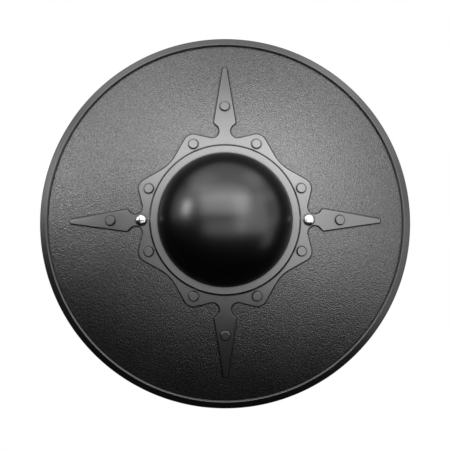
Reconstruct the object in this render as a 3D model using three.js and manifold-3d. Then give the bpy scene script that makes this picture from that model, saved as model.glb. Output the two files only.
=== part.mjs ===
// A round targe. A dished face shell has its edge in a rim binding. A domed boss stands
// in the middle, its flange trapped under the raised collar of a star-shaped plate, which
// twelve rivets hold to the shell. Two domed bolts fix a centre grip across the opening
// behind the boss.
//
// Lengths are in millimetres and angles in degrees. In the shield's own frame +Z points
// out of the front along the boss axis, +Y is up and +X is to the right as seen from the
// front, with Z = 0 on the back of the rim. The finished shield is turned to face -Y with
// +Z up, and its origin is the middle of the grip.
//
// The shell, the plate and the boss flange are layers of concentric spheres, so a level
// is a distance from the centre of the dish, and each fastener lies on a line through it.
import * as THREE from "three";
import { mergeVertices } from "three/addons/utils/BufferGeometryUtils.js";
import Module from "manifold-3d";

const wasm = await Module();
wasm.setup();

// Shared values: the gap left between pieces that touch, how far a cut runs past what it
// cuts, and the number of facets round a large turned piece and round a fastener.
const seatGap = 0.3;
const overrun = 6;
const roundSteps = 60;
const smallSteps = 12;

// Face shell
const shieldDiameter = 508;
const dishDepth = 56; // rise of the front from the shell's edge to its middle
const shellThickness = 4;
const shellArcSteps = 6;

// Rim binding, a channel that the shell's edge stands in
const rimEdgeWall = 5.7; // outside the shell's edge
const rimBackWall = 3; // behind the shell's edge
const rimWidth = 11.3;
const rimRise = 2.6; // crest above the face
const rimInnerSlope = 3.5; // width of the wall that slopes from the face to the crest
const rimLip = 0.5; // thickness left at the foot of that wall
const rimOuterHeight = 7.5; // of the upright outer wall
const rimEdgeChamfer = 1.2;

// Boss
const bossRadius = 89.5;
const bossHeight = 76; // above the collar
const bossThickness = 3.5;
const bossFlangeThickness = 2.4;
const bossFlangeWidth = 8.5; // outside the dome
const bossArcSteps = 7;

// Star plate: a raised collar round the boss, eight lobes with a rivet in each, and four
// pointed arms, each with a necked root and a rivet of its own
const plateThickness = 2.5;
const plateArcSteps = 5;
const armCount = 4;
const lobesPerArm = 2;
const collarWall = 3.4; // outside the boss flange
const collarDraft = 1.3; // by which its outer wall leans in
const collarCrest = 1; // by which its outer edge stands out, so that its front is nearly flat
const rivetInset = 8.7; // from the collar out to the circle of lobe rivets
const lobeRadius = 14.6;
const lobeSteps = 5;
const valleyWall = 5.4; // plate left outside the collar between two lobes
const valleyRadius = 50;
const valleySteps = 2;
const neckWidth = 16.2;
const notchRadius = 9.3;
const notchRise = 9.9; // from the rivet circle out to the middle of a notch
const notchSteps = 7;
const armWidth = 31.4; // over the shoulders
const shoulderAngle = 41; // of a shoulder's edge, from square to the arm
const tipMargin = 31; // bare face between an arm's tip and the rim
const tipWidth = 6.2;
const armRivetRise = 23.2; // from the shoulders out to an arm's rivet

// Rivets and the washers that their tails are set down on
const rivetShankRadius = 2.5;
const rivetHeadRadius = 7;
const rivetHeadHeight = 2.2;
const rivetHeadDraft = 0.5; // by which its side leans in below the edge
const rivetHeadEdge = 0.7; // bevel round the flat top
const rivetTailRadius = 4.2;
const rivetTailHeight = 1.8;
const rivetWasherRadius = 5.6;
const rivetWasherThickness = 1.2;

// Bolts with domed heads and square necks, their washers and nuts
const boltInset = 10.5; // from the collar out to the bolts
const boltRadius = 3;
const boltHeadRadius = 8.1;
const boltHeadHeight = 4;
const boltHeadArcSteps = 4;
const boltNeckDepth = 2.4; // square, in the plate alone
const boltTailLength = 6; // past the nut
const boltWasherRadius = 9;
const boltWasherThickness = 1.6;
const nutAcrossFlats = 10;
const nutThickness = 5;
const nutSides = 6;

// Grip: a flat bar with bent feet, and two scales riveted to it
const barWidth = 28;
const barThickness = 4;
const footInset = 17; // of foot on the boss side of a bolt
const footOverhang = 14; // of foot on the rim side of a bolt
const footEndEase = 1.5; // by which the round of a foot's end is wider than the bar
const footEndSteps = 6;
const scaleLength = 112;
const scaleThickness = 12;
const scaleSwell = 2.4; // extra thickness at the middle of a scale
const scaleEndDrop = 3.5; // by which a scale thins at its ends
const scaleFlatness = 0.6; // of its crown: 1 is a half ellipse and 0 is square
const scaleSideSteps = 8;
const scaleLengthSteps = 8;
const gripRivetRadius = 3;
const gripRivetSpacing = 78;

// Levels of the layers, as distances from the centre of the dish
const shieldRadius = shieldDiameter / 2;
const shellRadius = shieldRadius - rimEdgeWall;
const shellFront = (shellRadius ** 2 + dishDepth ** 2) / (2 * dishDepth);
const shellBack = shellFront - shellThickness;
const plateBack = shellFront + seatGap;
const plateFront = plateBack + plateThickness;
const flangeFront = plateBack + bossFlangeThickness;
const collarBack = flangeFront + seatGap;
const collarFront = collarBack + plateThickness;
const dishCentreZ = rimBackWall + seatGap - Math.sqrt(shellBack ** 2 - shellRadius ** 2);

// Radii about the boss axis
const openingRadius = bossRadius - bossThickness;
const flangeRadius = bossRadius + bossFlangeWidth;
const collarRadius = flangeRadius + seatGap + collarWall;
const rivetCircle = collarRadius + rivetInset;
const boltCircle = collarRadius + boltInset;
const rimInnerRadius = shieldRadius - rimWidth;
const tipRadius = rimInnerRadius - tipMargin;
const notchDistance = rivetCircle + notchRise;
const shoulder = shoulderPoint();
const armRivetCircle = shoulder.x + armRivetRise;

// Tilts of the fasteners from the boss axis
const tiltAt = (radius) => Math.asin(radius / plateFront);
const boltTilt = tiltAt(boltCircle);

// The foot of the grip bar is flat, so its front level is where its farthest corner just
// clears the hollow back of the shell.
const footReach = Math.hypot(Math.max(footInset, footOverhang), barWidth / 2);
const footFront = Math.sqrt(shellBack ** 2 - footReach ** 2) - seatGap;
const footBack = footFront - barThickness;

const plateFinish = { color: 0x4a4a4b, roughness: 0.5, metalness: 0 };
const finishes = {
  face: { color: 0x343334, roughness: 0.65, metalness: 0 },
  rim: { color: 0x3c3c3d, roughness: 0.5, metalness: 0 },
  plate: plateFinish,
  boss: { color: 0x141414, roughness: 0.28, metalness: 0 },
  rivet: plateFinish,
  brightSteel: { color: 0xd8d8da, roughness: 0.12, metalness: 1 },
  darkSteel: { color: 0x3a3b3d, roughness: 0.45, metalness: 0.9 },
  scale: { color: 0x1d1d1e, roughness: 0.6, metalness: 0 },
};

const shield = new THREE.Group();
shield.rotation.x = Math.PI / 2;

// Adds one named piece to a group and returns its mesh.
function addPiece(group, name, solid, finish) {
  const mesh = new THREE.Mesh(geometryOf(solid), new THREE.MeshStandardMaterial(finish));
  mesh.name = name;
  group.add(mesh);
  return mesh;
}

// A closed three.js geometry as a solid that can be joined and cut.
function solidOf(geometry) {
  const bare = geometry.clone();
  bare.deleteAttribute("normal");
  bare.deleteAttribute("uv");
  const merged = mergeVertices(bare);
  const corners = Array.from(merged.index.array);
  const triVerts = [];
  for (let i = 0; i < corners.length; i += 3) {
    const [a, b, c] = corners.slice(i, i + 3);
    if (a !== b && b !== c && c !== a) triVerts.push(a, b, c);
  }
  return new wasm.Manifold(
    new wasm.Mesh({
      numProp: 3,
      vertProperties: merged.attributes.position.array,
      triVerts: new Uint32Array(triVerts),
    }),
  );
}

// A solid as a three.js geometry.
function geometryOf(solid) {
  const mesh = solid.getMesh();
  const positions = new Float32Array(mesh.numVert * 3);
  for (let i = 0; i < mesh.numVert; i++) {
    const start = i * mesh.numProp;
    positions.set(mesh.vertProperties.subarray(start, start + 3), i * 3);
  }
  const geometry = new THREE.BufferGeometry();
  geometry.setAttribute("position", new THREE.BufferAttribute(positions, 3));
  geometry.setIndex(new THREE.BufferAttribute(new Uint32Array(mesh.triVerts), 1));
  geometry.computeVertexNormals();
  return geometry;
}

// A profile of [radius, height] points turned about Z. It may run either way round.
function turned(profile, steps) {
  const points = profile.map(([radius, height]) => new THREE.Vector2(radius, height));
  if (THREE.ShapeUtils.area(points) < 0) points.reverse();
  const closed = [...points, points[0]];
  const geometry = new THREE.LatheGeometry(closed, steps);
  return solidOf(geometry.rotateX(Math.PI / 2));
}

// An outline of Vector2 points in XY, extruded along Z from one height to another.
function extruded(outline, low, high) {
  const shape = new THREE.Shape(outline);
  const geometry = new THREE.ExtrudeGeometry(shape, {
    depth: high - low,
    bevelEnabled: false,
  });
  return solidOf(geometry.translate(0, 0, low));
}

// A straight round bar along Z.
function rod(radius, low, high, steps = smallSteps) {
  const geometry = new THREE.CylinderGeometry(radius, radius, high - low, steps);
  geometry.rotateX(Math.PI / 2);
  return solidOf(geometry.translate(0, 0, (low + high) / 2));
}

// A square bar along Z.
function squareRod(side, low, high) {
  const geometry = new THREE.BoxGeometry(side, side, high - low);
  return solidOf(geometry.translate(0, 0, (low + high) / 2));
}

// Height of a layer at a distance from the boss axis.
const layerZ = (level, radius) => dishCentreZ + Math.sqrt(level ** 2 - radius ** 2);

// A layer's [radius, height] points from one radius to another, both included.
function layerArc(level, fromRadius, toRadius, steps) {
  return Array.from({ length: steps + 1 }, (_, i) => {
    const radius = THREE.MathUtils.lerp(fromRadius, toRadius, i / steps);
    return [radius, layerZ(level, radius)];
  });
}

// Turns a solid that was made along +Z from the centre of the dish, so that it leans out
// by the tilt in the direction of the angle from +X.
function leant(solid, tilt, angle) {
  const deg = THREE.MathUtils.radToDeg;
  return solid.rotate([0, deg(tilt), 0]).rotate([0, 0, deg(angle)]).translate([0, 0, dishCentreZ]);
}

// Where each rivet stands: its number, tilt and angle. Lobe rivets come first.
function rivetPlaces() {
  const lobeCount = armCount * lobesPerArm;
  const lobes = Array.from({ length: lobeCount }, (_, i) => ({
    tilt: tiltAt(rivetCircle),
    angle: (2 * Math.PI * (i + 1 / 2)) / lobeCount,
  }));
  const arms = Array.from({ length: armCount }, (_, i) => ({
    tilt: tiltAt(armRivetCircle),
    angle: (2 * Math.PI * i) / armCount,
  }));
  return [...lobes, ...arms].map((place, i) => ({ ...place, label: String(i + 1).padStart(2, "0") }));
}

// The bolts stand on the two level arms.
const boltPlaces = [
  { side: "right", angle: 0 },
  { side: "left", angle: Math.PI },
];

// Round holes through the shell and the plate for the rivets.
function rivetHoles() {
  return rivetPlaces().map(({ tilt, angle }) =>
    leant(rod(rivetShankRadius + seatGap, shellBack - overrun, plateFront + overrun), tilt, angle),
  );
}

function makeShell() {
  const front = layerArc(shellFront, openingRadius, shellRadius, shellArcSteps);
  const back = layerArc(shellBack, openingRadius, shellRadius, shellArcSteps);
  const boltHoles = boltPlaces.map(({ angle }) =>
    leant(rod(boltRadius + seatGap, shellBack - overrun, shellFront + overrun), boltTilt, angle),
  );
  const holes = wasm.Manifold.union([...rivetHoles(), ...boltHoles]);
  return turned([...front, ...back.reverse()], roundSteps).subtract(holes);
}

function makeRimBinding() {
  const slotRadius = shellRadius + seatGap;
  const crestZ = layerZ(shellFront, rimInnerRadius) + rimRise;
  const slotFront = layerArc(shellFront, rimInnerRadius, slotRadius, 1);
  const slotBack = layerArc(shellBack, rimInnerRadius, slotRadius, 1);
  return turned(
    [
      [rimInnerRadius, 0],
      [shieldRadius - rimEdgeChamfer, 0],
      [shieldRadius, rimEdgeChamfer],
      [shieldRadius, rimOuterHeight - rimEdgeChamfer],
      [shieldRadius - rimEdgeChamfer, rimOuterHeight],
      [rimInnerRadius + rimInnerSlope, crestZ],
      [rimInnerRadius, layerZ(shellFront, rimInnerRadius) + seatGap + rimLip],
      ...slotFront.map(([radius, z]) => [radius, z + seatGap]),
      ...slotBack.reverse().map(([radius, z]) => [radius, z - seatGap]),
    ],
    roundSteps,
  );
}

// The dome is a half ellipse on an upright root that passes through the collar.
function makeBoss() {
  const rootZ = layerZ(collarFront, bossRadius);
  const domeArc = (radius, height) =>
    Array.from({ length: bossArcSteps + 1 }, (_, i) => {
      const turn = (Math.PI / 2) * (i / bossArcSteps);
      return [radius * Math.cos(turn), rootZ + height * Math.sin(turn)];
    });
  return turned(
    [
      ...layerArc(plateBack, openingRadius, flangeRadius, 1),
      ...layerArc(flangeFront, flangeRadius, bossRadius, 1),
      ...domeArc(bossRadius, bossHeight),
      ...domeArc(openingRadius, bossHeight - bossThickness).reverse(),
    ],
    roundSteps,
  );
}

// Points along an arc, from one angle to another, both included.
function arcPoints(centre, radius, from, to, steps) {
  return Array.from({ length: steps + 1 }, (_, i) => {
    const angle = THREE.MathUtils.lerp(from, to, i / steps);
    return new THREE.Vector2(Math.cos(angle), Math.sin(angle)).multiplyScalar(radius).add(centre);
  });
}

// The angle, about the first of two circles, at which a line that crosses between them
// touches it. It touches the second at the opposite angle. side is 1 or -1.
function crossingTangentAngle(first, firstRadius, second, secondRadius, side) {
  const between = second.clone().sub(first);
  return between.angle() + side * Math.acos((firstRadius + secondRadius) / between.length());
}

// The middle of the notch beside the neck of the arm along +X.
function notchMiddle() {
  return new THREE.Vector2(notchDistance, neckWidth / 2 + notchRadius);
}

// The shoulder of that arm, on the line that leaves the notch at the shoulder's angle.
function shoulderPoint() {
  const angle = THREE.MathUtils.degToRad(shoulderAngle);
  const alongNormal = new THREE.Vector2(Math.cos(angle), -Math.sin(angle));
  const leaves = notchMiddle().addScaledVector(alongNormal, notchRadius);
  const halfWidth = armWidth / 2;
  return new THREE.Vector2(leaves.x + (halfWidth - leaves.y) * Math.tan(angle), halfWidth);
}

// Half of one arm with half of the lobe beside it, for the arm along +X, from the tip to
// the bottom of the valley between two lobes.
function halfArmOutline() {
  const lobeAngle = Math.PI / (armCount * lobesPerArm);
  const notch = notchMiddle();
  const lobe = new THREE.Vector2(Math.cos(lobeAngle), Math.sin(lobeAngle)).multiplyScalar(rivetCircle);
  const valleyAngle = Math.PI / armCount;
  const valleyDistance = collarRadius + valleyWall + valleyRadius;
  const valley = new THREE.Vector2(Math.cos(valleyAngle), Math.sin(valleyAngle));
  valley.multiplyScalar(valleyDistance);

  const notchEnd = crossingTangentAngle(notch, notchRadius, lobe, lobeRadius, 1);
  const lobeEnd = crossingTangentAngle(lobe, lobeRadius, valley, valleyRadius, -1);
  const turn = 2 * Math.PI;
  const wrapped = (angle) => ((angle % turn) + turn) % turn;
  const notchArc = [-THREE.MathUtils.degToRad(shoulderAngle), wrapped(notchEnd) - turn];
  const lobeArc = [wrapped(notchEnd + Math.PI), wrapped(lobeEnd)];
  if (lobeArc[0] > lobeArc[1]) lobeArc[0] -= turn;
  const valleyArc = [wrapped(lobeEnd + Math.PI), valleyAngle + Math.PI];
  return [
    new THREE.Vector2(tipRadius, tipWidth / 2),
    shoulder,
    ...arcPoints(notch, notchRadius, ...notchArc, notchSteps),
    ...arcPoints(lobe, lobeRadius, ...lobeArc, lobeSteps),
    ...arcPoints(valley, valleyRadius, ...valleyArc, valleySteps),
  ];
}

// The whole star, anticlockwise: each half arm is mirrored, then turned to every arm.
function starOutline() {
  const half = halfArmOutline();
  const mirrored = half.slice(0, -1).map(({ x, y }) => new THREE.Vector2(x, -y));
  const wholeArm = [...mirrored.reverse(), ...half];
  const middle = new THREE.Vector2();
  return Array.from({ length: armCount }, (_, i) => (2 * Math.PI * i) / armCount).flatMap((angle) =>
    wholeArm.map((point) => point.clone().rotateAround(middle, angle)),
  );
}

function makeStarPlate() {
  const holeRadius = bossRadius + seatGap;
  const recessRadius = flangeRadius + seatGap;
  const outerRadius = tipRadius + overrun;
  const band = turned(
    [
      ...layerArc(collarBack, holeRadius, recessRadius, 1),
      ...layerArc(plateBack, recessRadius, outerRadius, plateArcSteps),
      ...layerArc(plateFront, outerRadius, collarRadius, plateArcSteps),
      [collarRadius - collarDraft, layerZ(collarFront, collarRadius) + collarCrest],
      [holeRadius, layerZ(collarFront, holeRadius)],
    ],
    roundSteps,
  );
  const star = extruded(starOutline(), -overrun, layerZ(collarFront, 0) + overrun);
  const neckHoles = boltPlaces.map(({ angle }) =>
    leant(squareRod(2 * (boltRadius + seatGap), plateBack - overrun, plateFront + overrun), boltTilt, angle),
  );
  return band.intersect(star).subtract(wasm.Manifold.union([...rivetHoles(), ...neckHoles]));
}

// Levels of a rivet's parts, from its set tail up to its head.
const rivetWasherFront = shellBack - seatGap;
const rivetWasherBack = rivetWasherFront - rivetWasherThickness;
const rivetTailFront = rivetWasherBack - seatGap;
const rivetHeadBack = plateFront + seatGap;

function makeRivet() {
  const tailBack = rivetTailFront - rivetTailHeight;
  const headFront = rivetHeadBack + rivetHeadHeight;
  return turned(
    [
      [0, tailBack],
      [rivetShankRadius, tailBack],
      [rivetTailRadius, rivetTailFront],
      [rivetShankRadius, rivetTailFront],
      [rivetShankRadius, rivetHeadBack],
      [rivetHeadRadius, rivetHeadBack],
      [rivetHeadRadius - rivetHeadDraft, headFront - rivetHeadEdge],
      [rivetHeadRadius - rivetHeadDraft - rivetHeadEdge, headFront],
      [0, headFront],
    ],
    smallSteps,
  );
}

function makeWasher(innerRadius, outerRadius, back, front) {
  return turned(
    [
      [innerRadius, back],
      [outerRadius, back],
      [outerRadius, front],
      [innerRadius, front],
    ],
    smallSteps,
  );
}

// Levels of the bolt stack behind the grip bar's foot.
const boltWasherFront = footBack - seatGap;
const nutFront = boltWasherFront - boltWasherThickness - seatGap;
const nutBack = nutFront - nutThickness;

// The head is a low dome of half ellipse section.
function makeBolt() {
  const headBack = plateFront + seatGap;
  const dome = Array.from({ length: boltHeadArcSteps + 1 }, (_, i) => {
    const turn = (Math.PI / 2) * (i / boltHeadArcSteps);
    return [boltHeadRadius * Math.cos(turn), headBack + boltHeadHeight * Math.sin(turn)];
  });
  const tailBack = nutBack - boltTailLength;
  const round = turned([[0, tailBack], [boltRadius, tailBack], [boltRadius, headBack], ...dome], smallSteps);
  return round.add(squareRod(2 * boltRadius, headBack - boltNeckDepth, headBack));
}

function makeNut() {
  const circumradius = nutAcrossFlats / 2 / Math.cos(Math.PI / nutSides);
  const hole = rod(boltRadius + seatGap, nutBack - overrun, nutFront + overrun);
  return rod(circumradius, nutBack, nutFront, nutSides).subtract(hole);
}

// A point of the grip bar's foot in the XZ plane: a level, and a distance along the foot
// from the bolt towards the rim.
function footPoint(level, along) {
  const point = new THREE.Vector2(along, level).rotateAround(new THREE.Vector2(), -boltTilt);
  return point.add(new THREE.Vector2(0, dishCentreZ));
}

// The middle of the bar is straight, level with the boss side of the feet.
const barFront = footPoint(footFront, -footInset).y;
const barBack = barFront - barThickness;
const gripMiddleZ = (barFront + barBack) / 2;

function makeGripBar() {
  const bendBack = footPoint(footBack, -footInset);
  const half = [
    new THREE.Vector2(bendBack.x, barBack),
    footPoint(footBack, footOverhang),
    footPoint(footFront, footOverhang),
    footPoint(footFront, -footInset),
  ];
  const mirrored = half.map(({ x, y }) => new THREE.Vector2(-x, y)).reverse();
  const side = extruded([...half, ...mirrored], -barWidth / 2, barWidth / 2);
  const bar = side.rotate([90, 0, 0]);

  // Seen from the back, the ends of the feet are round.
  const endRadius = barWidth / 2 + footEndEase;
  const endMiddle = footPoint(footFront, footOverhang).x - endRadius;
  const quarter = Math.PI / 2;
  const plan = [
    ...arcPoints(new THREE.Vector2(endMiddle, 0), endRadius, -quarter, quarter, footEndSteps),
    ...arcPoints(new THREE.Vector2(-endMiddle, 0), endRadius, quarter, 3 * quarter, footEndSteps),
  ];
  const boltHoles = boltPlaces.map(({ angle }) =>
    leant(rod(boltRadius + seatGap, footBack - overrun, footFront + overrun), boltTilt, angle),
  );
  const holes = wasm.Manifold.union([...boltHoles, ...gripRivetHoles()]);
  return bar.intersect(extruded(plan, 0, barFront + overrun)).subtract(holes);
}

const gripRivetOffsets = [
  { side: "right", x: gripRivetSpacing / 2 },
  { side: "left", x: -gripRivetSpacing / 2 },
];
const scaleReach = barThickness / 2 + seatGap + scaleThickness + scaleSwell;

function gripRivetHoles() {
  return gripRivetOffsets.map(({ x }) =>
    rod(gripRivetRadius + seatGap, gripMiddleZ - scaleReach - overrun, gripMiddleZ + scaleReach + overrun)
      .translate([x, 0, 0]),
  );
}

// Height of a scale above the bar at a share of its length, from -1 to 1.
function scaleHeight(share) {
  const swell = scaleSwell * Math.cos((Math.PI / 2) * share) ** 2;
  return scaleThickness + swell - scaleEndDrop * share ** 4;
}

// One scale, flat on the bar and crowned across its width, as rings of points along X.
// It is made in front of the bar, and the back one is the same scale turned over.
function makeFrontScale() {
  const base = barThickness / 2 + seatGap;
  const across = scaleSideSteps + 1;
  const positions = [];
  for (let i = 0; i <= scaleLengthSteps; i++) {
    const share = (2 * i) / scaleLengthSteps - 1;
    for (let k = 0; k < across; k++) {
      const turn = Math.PI * (k / scaleSideSteps);
      const y = (barWidth / 2) * Math.cos(turn);
      const z = base + scaleHeight(share) * Math.sin(turn) ** scaleFlatness;
      positions.push((scaleLength / 2) * share, y, k === 0 || k === scaleSideSteps ? base : z);
    }
  }
  const faces = [];
  const at = (ring, k) => ring * across + (k % across);
  for (let ring = 0; ring < scaleLengthSteps; ring++) {
    for (let k = 0; k < across; k++) {
      faces.push(at(ring, k), at(ring, k + 1), at(ring + 1, k + 1));
      faces.push(at(ring, k), at(ring + 1, k + 1), at(ring + 1, k));
    }
  }
  for (let k = 1; k < scaleSideSteps; k++) {
    faces.push(at(0, 0), at(0, k + 1), at(0, k));
    faces.push(at(scaleLengthSteps, 0), at(scaleLengthSteps, k), at(scaleLengthSteps, k + 1));
  }
  const geometry = new THREE.BufferGeometry();
  geometry.setAttribute("position", new THREE.Float32BufferAttribute(positions, 3));
  geometry.setIndex(faces);
  return solidOf(geometry);
}

function makeScale(turnOver) {
  const scale = makeFrontScale().rotate([turnOver, 0, 0]).translate([0, 0, gripMiddleZ]);
  return scale.subtract(wasm.Manifold.union(gripRivetHoles()));
}

// The grip rivets are flush with the scales.
function makeGripRivet(x) {
  const share = x / (scaleLength / 2);
  const reach = barThickness / 2 + seatGap + scaleHeight(share);
  return rod(gripRivetRadius, gripMiddleZ - reach, gripMiddleZ + reach).translate([x, 0, 0]);
}

addPiece(shield, "face_shell", makeShell(), finishes.face);
addPiece(shield, "rim_binding", makeRimBinding(), finishes.rim);
addPiece(shield, "boss_dome", makeBoss(), finishes.boss);
addPiece(shield, "star_plate", makeStarPlate(), finishes.plate);

for (const { label, tilt, angle } of rivetPlaces()) {
  const washer = makeWasher(rivetShankRadius + seatGap, rivetWasherRadius, rivetWasherBack, rivetWasherFront);
  addPiece(shield, `rivet_${label}`, leant(makeRivet(), tilt, angle), finishes.rivet);
  addPiece(shield, `rivet_washer_${label}`, leant(washer, tilt, angle), finishes.darkSteel);
}

for (const { side, angle } of boltPlaces) {
  const washerBack = boltWasherFront - boltWasherThickness;
  const washer = makeWasher(boltRadius + seatGap, boltWasherRadius, washerBack, boltWasherFront);
  addPiece(shield, `grip_bolt_${side}`, leant(makeBolt(), boltTilt, angle), finishes.brightSteel);
  addPiece(shield, `bolt_washer_${side}`, leant(washer, boltTilt, angle), finishes.brightSteel);
  addPiece(shield, `bolt_nut_${side}`, leant(makeNut(), boltTilt, angle), finishes.brightSteel);
}

addPiece(shield, "grip_bar", makeGripBar(), finishes.darkSteel);
addPiece(shield, "grip_scale_front", makeScale(0), finishes.scale);
addPiece(shield, "grip_scale_back", makeScale(180), finishes.scale);
for (const { side, x } of gripRivetOffsets) {
  addPiece(shield, `grip_rivet_${side}`, makeGripRivet(x), finishes.brightSteel);
}

// The grip's middle becomes the origin: turned to face -Y, the shield's Z is the part's -Y.
shield.position.y = gripMiddleZ;
const targe = new THREE.Group();
targe.add(shield);

export default targe;
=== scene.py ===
"""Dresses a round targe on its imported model.

Every mesh is made in millimetres in the shield's own frame, where +Z points out of the
front along the boss axis, +Y is up and Z = 0 is the back of the rim. The last step turns
it into the part's frame in metres, where the front faces -Y and the origin is the middle
of the grip.

The shell, the star plate and the boss flange are layers of concentric spheres. A level is
a distance from the centre of the dish, and every fastener lies on a line through it.
"""

import logging
import math
from collections.abc import Iterable, Mapping, Sequence
from dataclasses import dataclass, field, replace
from enum import Enum

import bmesh
import bpy
from bmesh.types import BMEdge, BMesh, BMFace, BMVert
from mathutils import Matrix, Vector


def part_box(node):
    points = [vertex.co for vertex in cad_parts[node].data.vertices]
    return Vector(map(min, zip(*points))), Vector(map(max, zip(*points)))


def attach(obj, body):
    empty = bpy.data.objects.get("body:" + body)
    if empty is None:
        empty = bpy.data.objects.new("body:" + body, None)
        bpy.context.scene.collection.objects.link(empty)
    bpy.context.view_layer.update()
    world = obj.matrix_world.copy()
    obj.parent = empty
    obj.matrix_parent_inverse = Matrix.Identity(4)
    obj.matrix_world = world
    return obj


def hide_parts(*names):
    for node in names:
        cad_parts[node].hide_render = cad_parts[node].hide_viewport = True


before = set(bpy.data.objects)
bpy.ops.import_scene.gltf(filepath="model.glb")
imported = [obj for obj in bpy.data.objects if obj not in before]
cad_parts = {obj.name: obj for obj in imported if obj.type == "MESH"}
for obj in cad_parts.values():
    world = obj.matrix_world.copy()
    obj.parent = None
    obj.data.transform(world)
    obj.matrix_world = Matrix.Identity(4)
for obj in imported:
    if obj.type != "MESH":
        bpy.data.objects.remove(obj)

log = logging.getLogger("targe")

Point = tuple[float, float]
Colour = tuple[float, float, float]
Value = float | tuple[float, ...] | bpy.types.NodeSocket

MM = 0.001
TURN = 2 * math.pi
ORIGIN = (0.0, 0.0, 0.0)
UP = (0.0, 0.0, 1.0)
WELD = 1e-3
OVERRUN = 6.0
SHARP_ANGLE = math.radians(38)
WEAR_START = math.radians(9)
WEAR_FULL = math.radians(30)
WEAR_ATTRIBUTE = "edge_wear"
BLACK = (0.0, 0.0, 0.0, 1.0)
WHITE = (1.0, 1.0, 1.0, 1.0)

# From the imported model: the rim's radius and how far its back lies behind the grip.
SHIELD_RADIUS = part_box("rim_binding")[1].x / MM
GRIP_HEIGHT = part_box("rim_binding")[1].y / MM

TO_PART = (
    Matrix.Translation((0, GRIP_HEIGHT * MM, 0))
    @ Matrix.Rotation(math.radians(90), 4, "X")
    @ Matrix.Scale(MM, 4)
)


class Cut(Enum):
    """How one solid changes another."""

    AWAY = "DIFFERENCE"
    COMMON = "INTERSECT"
    JOIN = "UNION"


class Rounding(Enum):
    """What a bevel rounds."""

    EDGES = "EDGES"
    CORNERS = "VERTICES"


class Side(Enum):
    """The two level arms, with the angle of each from +X."""

    RIGHT = ("right", 0.0)
    LEFT = ("left", math.pi)

    @property
    def word(self) -> str:
        """The side's name, as the nodes have it."""
        return self.value[0]

    @property
    def angle(self) -> float:
        """The side's angle from +X."""
        return self.value[1]


# Layers of the dish


def quarter_turn(steps: int) -> list[float]:
    """Angles from 0 to a right angle, in even steps."""
    return [math.pi / 2 * i / steps for i in range(steps + 1)]


def heading(angle: float) -> Vector:
    """Unit vector at an angle from +X."""
    return Vector((math.cos(angle), math.sin(angle), 0))


@dataclass(frozen=True)
class Dish:
    """The concentric layers that the shield's pieces are cut from."""

    seat_gap: float = 0.3
    edge_wall: float = 5.7
    depth: float = 56.0
    shell_thickness: float = 4.0
    plate_thickness: float = 2.5
    flange_thickness: float = 2.4
    rim_back_wall: float = 3.0

    @property
    def shell_radius(self) -> float:
        """Radius of the shell's edge, inside the rim."""
        return SHIELD_RADIUS - self.edge_wall

    @property
    def shell_front(self) -> float:
        """Level of the face."""
        return (self.shell_radius**2 + self.depth**2) / (2 * self.depth)

    @property
    def shell_back(self) -> float:
        """Level of the back of the shell."""
        return self.shell_front - self.shell_thickness

    @property
    def plate_back(self) -> float:
        """Level of the back of the star plate and of the boss flange."""
        return self.shell_front + self.seat_gap

    @property
    def plate_front(self) -> float:
        """Level of the front of the star plate."""
        return self.plate_back + self.plate_thickness

    @property
    def flange_front(self) -> float:
        """Level of the front of the boss flange."""
        return self.plate_back + self.flange_thickness

    @property
    def collar_back(self) -> float:
        """Level of the underside of the collar."""
        return self.flange_front + self.seat_gap

    @property
    def collar_front(self) -> float:
        """Level of the front of the collar."""
        return self.collar_back + self.plate_thickness

    @property
    def centre(self) -> float:
        """Height of the dish's centre."""
        back = math.sqrt(self.shell_back**2 - self.shell_radius**2)
        return self.rim_back_wall + self.seat_gap - back

    def height(self, level: float, radius: float) -> float:
        """Height of a layer at a distance from the boss axis."""
        return self.centre + math.sqrt(level**2 - radius**2)

    def arc(self, level: float, start: float, end: float, steps: int) -> list[Point]:
        """A layer's profile, in radius and height, from one radius to another."""
        radii = [start + (end - start) * i / steps for i in range(steps + 1)]
        return [(radius, self.height(level, radius)) for radius in radii]

    def tilt(self, radius: float) -> float:
        """Tilt of a fastener whose head stands at a distance from the boss axis."""
        return math.asin(radius / self.plate_front)

    def lean(self, tilt: float, angle: float) -> Matrix:
        """Leans a solid made along +Z from the dish's centre, towards an angle from +X."""
        turned = Matrix.Rotation(angle, 4, "Z") @ Matrix.Rotation(tilt, 4, "Y")
        return Matrix.Translation((0, 0, self.centre)) @ turned


# Bench: small steps that every piece is made with


@dataclass(frozen=True)
class Zone:
    """A ring-shaped region that picks edges by where their middles lie."""

    inner: float = -math.inf
    outer: float = math.inf
    low: float = -math.inf
    high: float = math.inf

    def holds(self, at: Vector) -> bool:
        """Whether a point lies in the region."""
        return self.inner < at.xy.length < self.outer and self.low < at.z < self.high


EVERYWHERE = Zone()


def mend(mesh: BMesh) -> None:
    """Welds doubled points and turns every face outwards.

    Args:
        mesh: The mesh to mend.
    """
    bmesh.ops.remove_doubles(mesh, verts=mesh.verts, dist=WELD)
    bmesh.ops.dissolve_degenerate(mesh, edges=mesh.edges, dist=WELD / 10)
    bmesh.ops.recalc_face_normals(mesh, faces=mesh.faces)


def chain(mesh: BMesh, points: Sequence[Sequence[float]]) -> list[BMVert]:
    """Draws a chain of edges by extruding one point.

    Args:
        mesh: The mesh to draw in.
        points: Places of the chain's points, in 3D.

    Returns:
        The chain's points, in order.
    """
    made = [bmesh.ops.create_vert(mesh, co=points[0])["vert"][0]]
    for point in points[1:]:
        grown = bmesh.ops.extrude_vert_indiv(mesh, verts=[made[-1]])["verts"][0]
        grown.co = point
        made.append(grown)
    return made


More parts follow.
